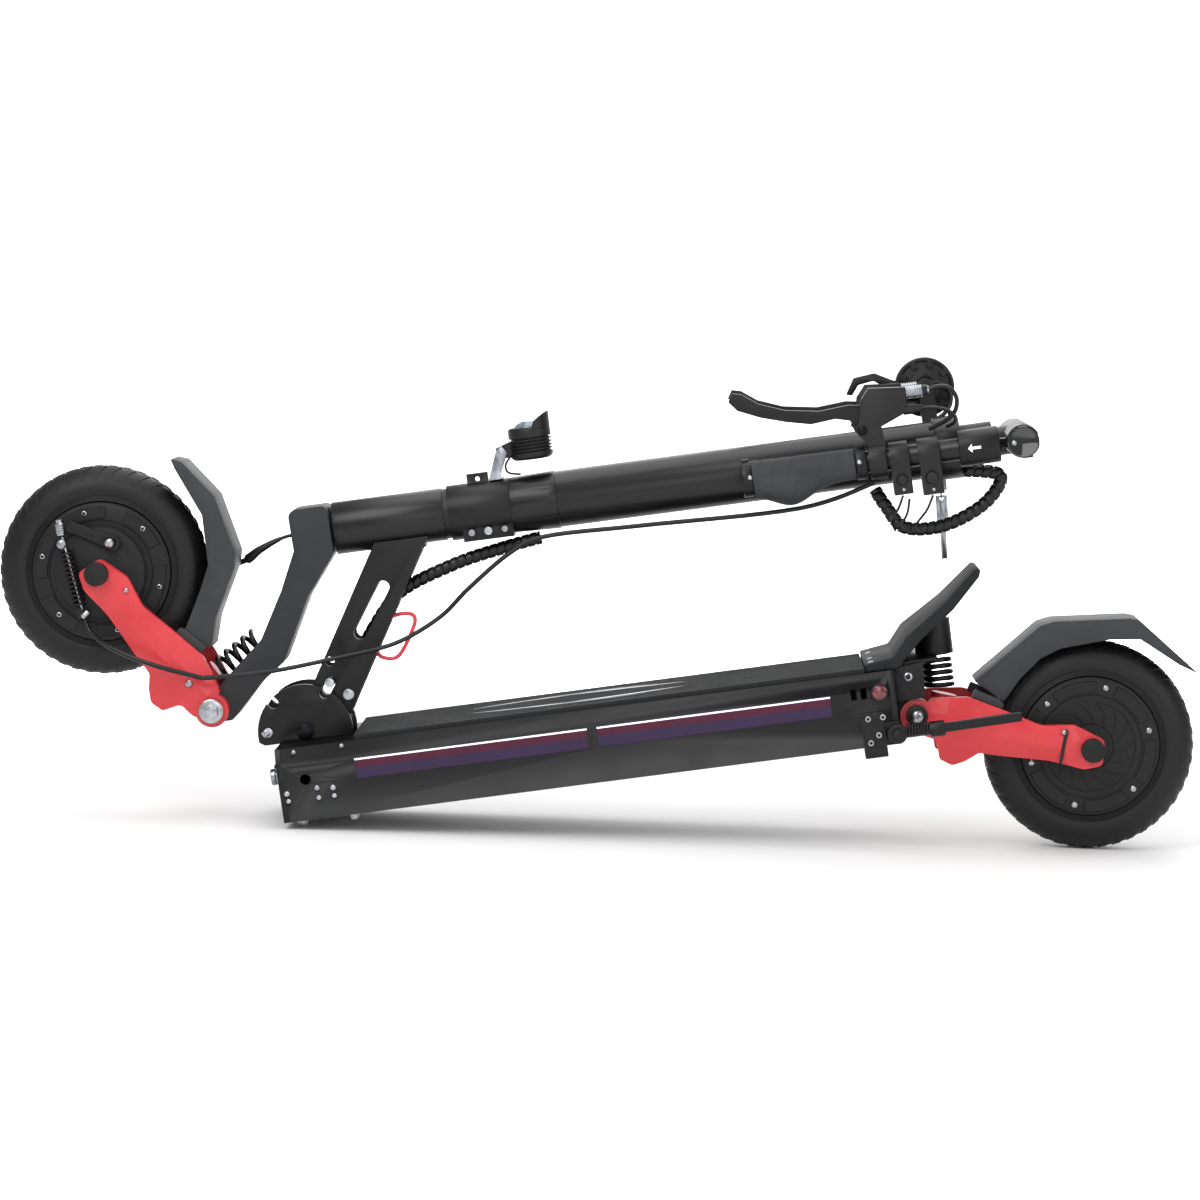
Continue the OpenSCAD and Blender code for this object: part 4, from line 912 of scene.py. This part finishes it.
plain = {  # node: material, bevel in mm, steps
    "deck_shell": ("satinBlackPowderCoat", 0.7, 2), "deck_end_plates": ("satinBlackPowderCoat", 1.2, 2),
    "hinge_cheeks": ("satinBlackPowderCoat", 0.9, 2), "hinge_pin": ("blackOxideSteel", 0.8, 2),
    "rear_brackets": ("satinBlackPowderCoat", 0.8, 2), "kickstand_bracket": ("satinBlackPowderCoat", 0.8, 2),
    "kickstand": ("satinBlackPowderCoat", 0.6, 2), "kick_plate": ("deckMatRubber", 1.6, 3),
    "rear_fender": ("glassFilledNylon", 1.1, 2), "front_fender": ("glassFilledNylon", 1.1, 2),
    "rear_axle_set": ("mattHubPaint", 0.8, 2), "front_axle_set": ("mattHubPaint", 0.8, 2),
    "rear_brake_arm": ("satinBlackPowderCoat", 0.5, 2), "front_brake_arm": ("satinBlackPowderCoat", 0.5, 2),
    "fold_arm": ("satinBlackPowderCoat", 0.8, 2), "head_tube": ("stemBlackPowderCoat", 0.8, 2),
    "fork_neck": ("greyPowderCoatCasting", 3.0, 2), "clamp_collar": ("satinBlackPowderCoat", 0.7, 2),
    "stem": ("stemBlackPowderCoat", 0.8, 2), "t_bar": ("satinBlackPowderCoat", 1.0, 2),
    "lamp_bracket": ("turnedAluminium", 0.4, 2), "lock_pin": ("zincPlatedSteel", 0.6, 2),
    "charge_ports": ("turnedAluminium", 0.5, 2), "arm_fasteners": ("zincPlatedSteel", 0.8, 2),
    "deck_fasteners": ("zincPlatedSteel", 0.5, 2), "left_bar": ("stemBlackPowderCoat", 0.6, 2),
    "right_bar": ("stemBlackPowderCoat", 0.6, 2), "left_sleeve": ("satinBlackPowderCoat", 1.0, 2),
    "right_sleeve": ("satinBlackPowderCoat", 1.0, 2), "left_lever": ("satinBlackPowderCoat", 1.6, 3),
    "right_lever": ("satinBlackPowderCoat", 1.6, 3), "left_controls": ("mouldedAbs", 1.2, 2),
    "right_controls": ("mouldedAbs", 1.2, 2), "throttle": ("mouldedAbs", 0.8, 2),
    "horn_button": ("mouldedAbs", 0.6, 2), "light_button": ("mouldedAbs", 0.6, 2),
    "power_button": ("mouldedAbs", 0.5, 2), "mode_button": ("mouldedAbs", 0.5, 2),
    "key": ("turnedAluminium", 0.3, 2), "spare_key": ("turnedAluminium", 0.2, 2),
}
for node, (material, bevel, steps) in plain.items():
    softened(node, material, bevel, steps)

facet = {"low": -5, "lowSlope": 0.42, "high": 6, "highSlope": 0.46, "most": 8.5, "from": 14, "to": 170,
         "ramp": 16,
         "edge": 1.2}


def facetedArm(node, place):
    # cast arm: a flat middle, with its upper and lower flanks falling away
    shape = bmesh.new()
    shape.from_mesh(frame["nodes"][node].data)
    shape.transform(place.inverted())
    bmesh.ops.remove_doubles(shape, verts=shape.verts, dist=0.002)
    bmesh.ops.dissolve_limit(shape, angle_limit=math.radians(1.0), verts=shape.verts, edges=shape.edges)
    for z in (facet["low"], facet["high"]):
        bmesh.ops.bisect_plane(shape, geom=shape.verts[:] + shape.edges[:] + shape.faces[:], dist=0.01,
                               plane_co=(0, 0, z), plane_no=(0, 0, 1))
    for x in (facet["from"], facet["from"] + facet["ramp"], facet["to"] - facet["ramp"], facet["to"]):
        bmesh.ops.bisect_plane(shape, geom=shape.verts[:] + shape.edges[:] + shape.faces[:], dist=0.01,
                               plane_co=(x, 0, 0), plane_no=(1, 0, 0))
    outer = size["armIn"] + size["armT"]
    for vert in shape.verts:
        x, y, z = vert.co
        if abs(y) < outer - 0.1:
            continue
        share = max(0, min(1, (x - facet["from"]) / facet["ramp"], (facet["to"] - x) / facet["ramp"]))
        fall = (max(0, facet["low"] - z) * facet["lowSlope"] + max(0,
                                                                   z - facet["high"]) * facet["highSlope"]) * share
        vert.co.y = math.copysign(abs(y) - min(fall, facet["most"]), y)
    return addPiece(node + "Body", shape, place, "redPowderCoatCasting", bodyOf[node], (node,),
                    facet["edge"], 1, 50, 14, mend=False)


facetedArm("rear_swingarm", rearArm)
facetedArm("front_swingarm", frontArm)
for node, material in (("battery_pack", "batteryShrinkWrap"), ("controllers", "castAluminiumCase")):
    obj = frame["nodes"][node]
    obj.data.materials.clear()
    obj.data.materials.append(materials[material])
print("carried pieces", len(plain))

# Deck: mat, light strips, reflectors

mat = {"x0": 82, "x1": 604, "halfW": 81, "low": 75, "high": 80, "groove": 1.1, "rib": 3.2}
shape = bmesh.new()
section = [(-mat["halfW"], mat["low"]), (-mat["halfW"], mat["high"] - 1.2),
           (-mat["halfW"] + 1.2, mat["high"])]
y = -mat["halfW"] + 5
while y < mat["halfW"] - 4:  # grooves along the deck
    section += [(y, mat["high"]), (y + 0.5, mat["high"] - mat["groove"]),
                (y + 1.3, mat["high"] - mat["groove"]),
                (y + 1.8, mat["high"])]
    y += mat["rib"]
section += [(mat["halfW"] - 1.2, mat["high"]), (mat["halfW"], mat["high"] - 1.2), (mat["halfW"], mat["low"])]
beam(shape, section, mat["x0"], mat["x1"])
addPiece("deckMat", shape, deck, "deckMatRubber", "deck", ("deck_mat",), smooth=30)


def deckSide(z):
    # half width of the deck box at a height
    return 87 + 5 * z / 57 if z <= 57 else 92 - 8 * (z - 57) / 18


strip = {"x": (80, 328), "length": 238, "z0": 36, "split": 47.5, "line": 55.2, "z1": 57.0}
# purple and magenta are the LED windows; the white strip is a painted highlight, glowing along the deck's widest
# crease
for label, low, high, depth, material in (
        ("purple", strip["z0"], strip["split"], 0.8, "purpleLightStrip"),
        ("magenta", strip["split"], strip["line"], 0.8, "magentaLightStrip"),
        ("white", strip["line"], strip["z1"], 0.5, "whiteLightLine")):
    shape = bmesh.new()
    for x in strip["x"]:
        for s in (-1, 1):
            a, b = deckSide(low) - depth, deckSide(high) - depth
            corners = [(s * a, low), (s * b, high), (s * (b - 2.4), high), (s * (a - 2.4), low)]
            beam(shape, corners, x + 0.1, x + strip["length"] - 0.1)
    addPiece(label + "Strip", shape, deck, material, "deck",
             ("side_lights",) if label == "purple" else (), smooth=30)
reflector = {"x": 616, "y": 92.2, "z": 55}
spots = outward(*reflector.values())
addTurned("roundReflectors", [(0, 2.6), (5.5, 2.5), (7.2, 1.8), (7.2, 0), (0, 0)], 40, spots, deck,
          "redPrismReflector", "deck", ("side_reflectors",))
addTurned("reflectorRims", [(7.3, 0), (7.3, 1.9), (7.9, 2.6), (8.8, 2.3), (9, 1.6), (9, 0)], 40, spots, deck,
          "mouldedAbs", "deck", closed=True)

# Pale strokes printed on the mat
shape = bmesh.new()
for side in (-1, 1):
    for x0, x1, y0, y1, thick in ((200, 300, 20, 34, 5), (300, 420, 34, 20, 7), (230, 380, 30, 42, 3)):
        pts = []
        for k in range(13):
            t = k / 12
            pts.append((x0 + (x1 - x0) * t, side * (y0 + (y1 - y0) * t + 5 * math.sin(math.pi * t)),
                        thick * math.sin(math.pi * t) + 0.2))
        upper = [shape.verts.new((x, y + w / 2, mat["high"] + 0.12)) for x, y, w in pts]
        lower = [shape.verts.new((x, y - w / 2, mat["high"] + 0.12)) for x, y, w in pts]
        for i in range(12):
            shape.faces.new((lower[i], lower[i + 1], upper[i + 1], upper[i]))
        # a thin underside keeps the film closed
        low2 = [shape.verts.new(v.co - Vector((0, 0, 0.1))) for v in upper]
        low1 = [shape.verts.new(v.co - Vector((0, 0, 0.1))) for v in lower]
        for i in range(12):
            shape.faces.new((low2[i], low2[i + 1], low1[i + 1], low1[i]))
            shape.faces.new((upper[i], upper[i + 1], low2[i + 1], low2[i]))
            shape.faces.new((lower[i + 1], lower[i], low1[i], low1[i + 1]))
        shape.faces.new((lower[0], upper[0], low2[0], low1[0]))
        shape.faces.new((upper[12], lower[12], low1[12], low2[12]))
addPiece("matGraphic", shape, deck, "silverTransfer", "deck", smooth=30)
print("deck")

# Lamp

lampX = 296
shape = bmesh.new()
body = [(0, 330.5), (18, 330.5), (21.5, 333), (22, 336)]
for k in range(5):  # cooling fins low on the body
    z = 337.5 + 3.4 * k
    body += [(22, z), (19.6, z + 0.5), (19.6, z + 1.6), (22, z + 2.1)]
body += [(22, 358), (21.5, 362.5), (19.6, 364), (17.2, 364), (16.8, 359), (0, 358)]
revolve(shape, body, 64, shift(lampX, 0, 0), closed=False)
visor = []
for k in range(25):  # hood round the front half of the lens
    a = math.radians(-78 + 156 * k / 24)
    height = 364 + 14 * math.cos(a) ** 0.8 if abs(a) < 1.36 else 364.2
    visor.append((a, height))
rows = [[shape.verts.new((lampX + r * math.cos(a), r * math.sin(a), z)) for r, z in
         ((22, 361), (22, h), (20.2, h), (20.2, 361))] for a, h in visor]
joinRows(shape, rows)
slab(shape, [(260, 336), (278, 334), (278, 352), (260, 346)], -6, 6)
addPiece("lampBody", shape, deck, "mouldedAbs", "lamp", ("lamp",), bevel=0.3, steps=1)
addTurned("lampLens", [(0, 359), (16.4, 359), (16.6, 360.5), (15.5, 364.5), (12.6, 367.4), (8.6, 369.4),
                       (4.3, 370.5), (0, 370.8)], 56, [shift(lampX, 0, 0)], deck, "clearLens", "lamp",
          ("lamp_lens",), smooth=60)
addCable("lampWire", [(274, -7, 336), (268, -9, 328), (270, -9, 320), (282, -6, 316.6)], 1.2, "steering",
         sides=8)

# Pull ring

ringRoute = [(112, -9.5, 152.5), (121, -9.5, 146.5), (131, -9.5, 147), (139, -9.5, 155), (147.5, -9.5, 168),
             (154, -9.5, 181), (152, -9.5, 188.2), (141, -9.5, 190.5), (126, -9.5, 186), (113, -9.5, 170)]
shape = bmesh.new()
looped = smoothRoute([ringRoute[-1]] + ringRoute + ringRoute[:2], 8)[8:-8]
sweepTube(shape, looped[:-1], 2.2, 12, closed=True)
sweepTube(shape, smoothRoute([(84, -9.5, 135), (80, -9.5, 140), (96, -9.5, 146), (112, -9.5, 152.5)], 6),
          1.5, 10)
addPiece("pullRing", shape, deck, "redCoatedWire", "lock", ("lock_ring",), smooth=60)

# Grips

grip = {"x0": -266, "x1": -140, "r": 17.4, "wing": 15, "grooves": 13, "grooveDepth": 1.1,
        "start": -256, "run": 104}  # start and run are the rubber between the collars


def gripRadius(t, down):
    # t runs from the outer end to the inner one; down is 1 at the underside, where the palm wing is
    bulge = math.exp(-((t - 0.36) / 0.25) ** 2) * grip["wing"] + 1.5 * (1 - t)
    return grip["r"] - 1.8 * t + bulge * max(0.0, down) ** 1.6


def gripShape():
    shape = bmesh.new()
    rings = []
    count, steps = 48, 90
    for k in range(steps + 1):
        t = k / steps
        x = grip["start"] + grip["run"] * t
        rings.append([])
        for i in range(count):
            a = 2 * math.pi * i / count
            r = gripRadius(t, -math.sin(a))
            # slanted grooves over the outer half
            wave = math.sin((t * grip["grooves"] - 0.7 * math.sin(a)) * math.pi)
            fade = min(1, max(0, (0.44 - t) / 0.05)) * min(1, max(0, (math.sin(a) + 0.75) / 0.2))
            r -= grip["grooveDepth"] * max(0.0, wave) ** 8 * fade
            rings[-1].append(shape.verts.new((x, r * math.cos(a), r * math.sin(a))))
    bore = [[shape.verts.new((x, 11.6 * math.cos(2 * math.pi * i / count),
                              11.6 * math.sin(2 * math.pi * i / count)))
             for i in range(count)] for x in (rings[0][0].co.x, rings[-1][0].co.x)]
    for a, b in [(bore[0], rings[0])] + list(zip(rings, rings[1:])) + [(rings[-1], bore[1]),
                                                                       (bore[1], bore[0])]:
        joinRings(shape, a, b)
    return shape


def gripCollars():
    shape = bmesh.new()
    for x0, x1, r in ((grip["x0"] - 1, grip["x0"] + 9.5, 18.4), (grip["x1"] - 11, grip["x1"], 17.2)):
        revolve(shape, [(11.7, x0), (r - 0.8, x0), (r, x0 + 0.8), (r, x1 - 0.8), (r - 0.8, x1),
                        (11.7, x1)], 56,
                along((1, 0, 0)))
        box(shape, (x0 + 1, -5, 12), (x1 - 1, 5, r + 1.6))
    return shape


for name, place in (("left", leftBar), ("right", rightBar)):
    bar = name + "_bar"
    addPiece(name + "Grip", gripShape(), place, "gripRubber", bar, (name + "_grip",),
             smooth=45)
    addPiece(name + "GripCollars", gripCollars(), place, "satinBlackPowderCoat", bar,
             bevel=0.4,
             steps=1)
    addTurned(name + "BarPlug", [(0, -266.6), (15, -266.6), (16.6, -265.6), (16.8, -262), (0, -262)], 48,
              [along((1, 0, 0))], place, "mouldedAbs", bar, smooth=40)
print("grips and lamp")

# Screws

addScrews("deckScrews", "dome", "zincPlatedSteel", "deck", deck, bothSides(
    [(7.4, deckSide(29.7) - 0.2, 29.7, 3.2), (38.5, deckSide(31.9) - 0.2, 31.9, 3.2),
     (54.7, deckSide(30.3) - 0.2, 30.3, 3.2), (19.3, deckSide(70.4) - 0.4, 70.4, 2.6),
     (68.5, deckSide(70.7) - 0.4, 70.7, 2.6), (-12.2, 28.6, 87.7, 5.0), (647.2, 72.2, 65.1, 6.0),
     (651.5, 66.2, 23, 7.0)]))
addScrews("kickScrews", "dome", "zincPlatedSteel", "deck", deck,
          [(612, y, 83.2, (0, 0, 1), 3.4) for y in (-66, -30, 30, 66)])
addScrews("standScrews", "cap", "zincPlatedSteel", "deck", deck,
          [(x, -97.2, z, near, 3.0) for x, z in ((601, 30.3), (616, 30.4), (610, 12.8), (601, 5.8))])
addScrews("clampScrews", "cap", "zincPlatedSteel", "steering", deck, bothSides(
    [(225.3, 24.1, 264.5, 3.4), (242.4, 24.1, 264.5, 4.2), (259.4, 24.1, 264.5, 3.2)]))
addScrews("pivotNuts", "hex", "zincPlatedSteel", "steering", deck, bothSides([(-60.5, 66.1, 121, 8.5)]))
addScrews("frontArmScrews", "dome", "zincPlatedSteel", "front_arm", frontArm, bothSides(
    [(36, 60.2, 0, 4.0), (150, 60.2, 12, 2.6)]))
addScrews("rearArmScrews", "dome", "zincPlatedSteel", "rear_arm", rearArm, bothSides(
    [(150, 60.2, 12, 2.6)]))
addScrews("leverBolts", "dome", "blackOxideSteel", "left_bar", leftBar, [(-140, -11, 33, near, 5.0)])
addScrews("leverBoltsFar", "dome", "blackOxideSteel", "right_bar", rightBar, [(-140, -11, 33, near, 5.0)])
addScrews("podScrews", "dome", "zincPlatedSteel", "left_bar", leftBar, [
    (-106.5, -15.2, -32, near, 2.0), (-76.5, -15.2, -36, near, 2.0), (-259, -18.2, 2, near, 2.6),
    (-147.5, -17, 2, near, 2.6)])
print("screws")

# Grip dots: a hexagonal grid pressed out of the inner half

dots = {"x0": -211, "pitch": 4.1, "columns": 12, "rows": 8, "radius": 1.3, "from": -24, "step": 13.5}
screws["dot"] = screwTemplate("gripDot", [(0, 0.3), (0.7, 0.3), (1, 0.0), (1, -0.6), (0, -0.6)], (1, 2, 3))
for name, place in (("left", leftBar), ("right", rightBar)):
    points = []
    for row in range(dots["rows"]):
        angle = math.radians(dots["from"] + dots["step"] * row)
        for column in range(dots["columns"]):
            x = dots["x0"] + dots["pitch"] * (column + 0.5 * (row % 2))
            reach = gripRadius((x - grip["start"]) / grip["run"], -math.sin(angle)) - 0.05
            points.append((x, -reach * math.cos(angle), reach * math.sin(angle),
                           (0, -math.cos(angle), math.sin(angle)), dots["radius"]))
    addScrews(name + "GripDots", "dot", "gripRubber", name + "_bar", place, points)

# Lever adjusters and their cables

adjuster = {"z": 64, "x0": -92, "x1": -67, "r": 6.3, "ribs": 7}
profile = [(0, adjuster["x0"]), (5.6, adjuster["x0"])]
pitch = (adjuster["x1"] - adjuster["x0"] - 8) / adjuster["ribs"]
for k in range(adjuster["ribs"]):
    x = adjuster["x0"] + 1 + pitch * k
    profile += [(5.7, x), (adjuster["r"], x + 0.5), (adjuster["r"], x + pitch - 0.9), (5.7, x + pitch - 0.4)]
profile += [(4.6, adjuster["x1"] - 6), (4.2, adjuster["x1"] - 1), (3.4, adjuster["x1"]), (0, adjuster["x1"])]
cableHoops = {
    "upper": [(-68, 0, 64), (-56, -2, 66), (-46, -4, 62), (-41, -4, 52), (-43, -3, 41), (-50, 0, 33),
              (-60, 6, 28),
              (-72, 10, 24)],
    "lower": [(-80, -3, 47), (-66, -6, 46), (-54, -7, 42), (-46, -6, 36), (-46, -2, 28), (-54, 6, 24)]}
for name, place in (("left", leftBar), ("right", rightBar)):
    body = name + "_bar"
    addTurned(name + "Adjuster", profile, 32, [shift(0, 0, adjuster["z"]) @ along((1, 0, 0))], place,
              "turnedAluminium", body)
    addTurned(name + "SwitchBoot", [(0, -96), (4.6, -96), (5.0, -95), (5.0, -86), (4.2, -82), (3.4, -76),
                                    (0, -76)],
              28, [shift(0, -3, 47) @ along((1, 0, 0))], place, "mouldedAbs", body, smooth=40)
    for label, points in cableHoops.items():
        addCable(name + label.title() + "Hoop", points, 2.3 if label == "upper" else 1.7, body, place,
                 sides=10)

# thin switch leads that drop from the pods and join the loom
switchLeads = {
    "One": [(-108, -10, -38), (-114, -8, -50), (-122, 0, -62), (-120, 16, -74)],
    "Two": [(-102, -12, -42), (-106, -10, -56), (-112, 0, -68), (-104, 20, -78)],
    "Three": [(-78, -10, -42), (-86, -8, -56), (-98, 4, -70), (-94, 22, -78)]}
for label, points in switchLeads.items():
    addCable("switchLead" + label, points, 1.3, "left_bar", leftBar, sides=8)
print("adjusters and leads")

# T-bar end caps, sleeve arrows, switch marks, display

tbar = {"x": 792.5, "y": 73.1, "z": 286}
addTurned("tbarCaps", [(0, 0.8), (11, 0.8), (13.2, 1.3), (15.2, 1.3), (16.2, 0.5), (16.2, -0.8),
                       (0, -0.8)], 56,
          outward(*tbar.values()), deck, "displayGlass", "steering")
shape = bmesh.new()
for s in (-1, 1):
    box(shape, (781, s * 74.3 - 0.25, 284), (803, s * 74.3 + 0.25, 288))
addPiece("tbarSlots", shape, deck, "mouldedAbs", "steering", bevel=0.15, steps=1)
addScrews("tbarScrews", "dome", "zincPlatedSteel", "steering", deck, bothSides([(783, 74.0, 286, 2.8)]))

arrow = {"tip": -37, "neck": -33, "tail": -24, "half": 13, "shaft": 4}  # x along the sleeve, degrees round it


def arrowShape(radius):
    shape = bmesh.new()
    steps = 10
    for x0, x1, h0, h1 in ((arrow["tip"], arrow["neck"], 0.5, arrow["half"]),
                           (arrow["neck"], arrow["tail"], arrow["shaft"], arrow["shaft"])):
        grid = []
        for lift in (0.0, 0.12):
            for x, h in ((x0, h0), (x1, h1)):
                grid.append([shape.verts.new((x, -(radius + lift) * math.cos(math.radians(a)),
                                              (radius + lift) * math.sin(math.radians(a))))
                             for a in (h * (2 * i / steps - 1) for i in range(steps + 1))])
        lowA, lowB, topA, topB = grid
        for i in range(steps):
            shape.faces.new((topA[i], topA[i + 1], topB[i + 1], topB[i]))
            shape.faces.new((lowA[i + 1], lowA[i], lowB[i], lowB[i + 1]))
            shape.faces.new((lowA[i], lowA[i + 1], topA[i + 1], topA[i]))
            shape.faces.new((lowB[i + 1], lowB[i], topB[i], topB[i + 1]))
        for i in (0, steps):
            shape.faces.new((lowA[i], topA[i], topB[i], lowB[i]))
    return shape


# printed white arrows; their emissive white makes them glow as a painted highlight
for name, place in (("left", leftBar), ("right", rightBar)):
    addPiece(name + "Arrow", arrowShape(19.02), place, "whiteLightLine", name + "_sleeve",
             smooth=50)
shape = bmesh.new()
for x, z, w in ((-106, -26, 2.2), (-106, -40, 3.0), (-76, -28, 2.6), (-76, -41, 3.0)):
    box(shape, (x - w, -15.35, z - 0.5), (x + w, -15.15, z + 0.5))
addPiece("switchMarks", shape, leftBar, "silverTransfer", "left_bar")

# display: dark window on the rider's side, moulded lugs round its back
display = {"x": -66, "z": 62, "front": -30, "back": -16, "r": 31, "lugs": 7}
addTurned("displayWindow", [(0, 0.5), (19, 0.5), (21, 0.2), (21, -0.6), (0, -0.6)], 56,
          [shift(display["x"], display["front"], display["z"] + 6) @ along(near)], rightBar, "displayGlass",
          "right_bar")
shape = bmesh.new()
revolve(shape, [(26.5, 0), (26.5, 1.2), (28, 1.8), (30, 1.8), (30.8, 1.0), (30.8, 0)], 64,
        shift(display["x"], display["back"], display["z"]) @ along(far))
for k in range(display["lugs"]):
    spot = Matrix.Rotation(math.radians(-60 + 40 * k), 4, "Y") @ shift(0, 0, 24.5)
    start = len(shape.verts)
    box(shape, (-3.2, 0, -3.6), (3.2, 2.6, 3.6))
    shape.verts.ensure_lookup_table()
    for vert in shape.verts[start:]:
        vert.co = shift(display["x"], display["back"], display["z"]) @ spot @ vert.co
addPiece("displayLugs", shape, rightBar, "mouldedAbs", "right_bar", bevel=0.4, steps=1)
print("cockpit details")

# Front and rear brake hardware

for label, frameAt, body, rideSide in (("front", frontArm, "front_arm", -1),
                                       ("rear", rearArm, "rear_arm", 1)):
    addTurned(label + "Ferrule", [(0, 0), (2.6, 0), (3.2, 0.6), (3.2, 8), (2.6, 9), (0, 9)], 20,
              [shift(158, rideSide * 41, -43.5) @ along((0.1, 0, 1))], frameAt, "zincPlatedSteel", body,
              smooth=40)
barrel = [(0, 0), (4.2, 0), (4.2, 2)]
for k in range(4):
    barrel += [(4.8, 2.5 + 2.4 * k), (4.8, 4.1 + 2.4 * k), (4.2, 4.5 + 2.4 * k)]
barrel += [(3.2, 13), (3.2, 16), (0, 16)]
addTurned("brakeBarrel", barrel, 28, [shift(-191, -42, 318) @ along((0, 0, 1))], deck, "zincPlatedSteel",
          "front_brake")
addCoil("brakeReturnSpring", coils["brake"], (-181.7, -41, 244.6), (-188, -42, 302.4), "front_arm")
shape = bmesh.new()
rod(shape, Vector((-180, -40, 236)), Vector((-190, -42, 316)), 1.1, 10, 0.1)
addPiece("brakeInnerWire", shape, deck, "zincPlatedSteel", "front_arm", smooth=40)
addScrews("brakeBolts", "dome", "zincPlatedSteel", "front_brake", deck, [(-191, -46.5, 309, near, 5.2),
                                                                      (-142.5, -46.5, 303.5, near, 5.2)])
addTurned("pivotWashers", [(6.5, 0), (11.8, 0), (12.4, 0.5), (12.4, 1.3), (11.6, 1.8), (6.5, 1.8)], 40,
          outward(frontPivot[0], 66.0, frontPivot[2]), deck, "zincPlatedSteel", "steering",
          closed=True)
print("brake hardware")

# Kickstand spring, cable tie and headset spacer
addCoil("standSpring", coils["stand"], (637, -100.5, 14.5), (661, -100.5, 13.9), "kickstand")
shape = bmesh.new()
tieTop, tieFoot, tieHalf = Vector((800.6, 0, -11)), Vector((789.5, 0, -45)), 1.6
across = (tieFoot - tieTop).cross(Vector((0, 1, 0))).normalized() * tieHalf
corners = (tieTop + across, tieTop - across, tieFoot - across, tieFoot + across)
slab(shape, [(v.x, v.z) for v in corners], -61.2, -59.6)
addPiece("cableTie", shape, deck, "mouldedAbs", "rear_arm", bevel=0.3, steps=1)
headset = {"x0": 199, "x1": 204, "r": 25.8, "bore": 21, "z": 286}
ends = [(headset[r], headset[x]) for r, x in (("bore", "x0"), ("r", "x0"), ("r", "x1"), ("bore", "x1"))]
addTurned("headsetSpacer", ends, 56, [shift(0, 0, headset["z"]) @ along((1, 0, 0))], deck, "mouldedAbs",
          "steering", closed=True)
print("small parts")
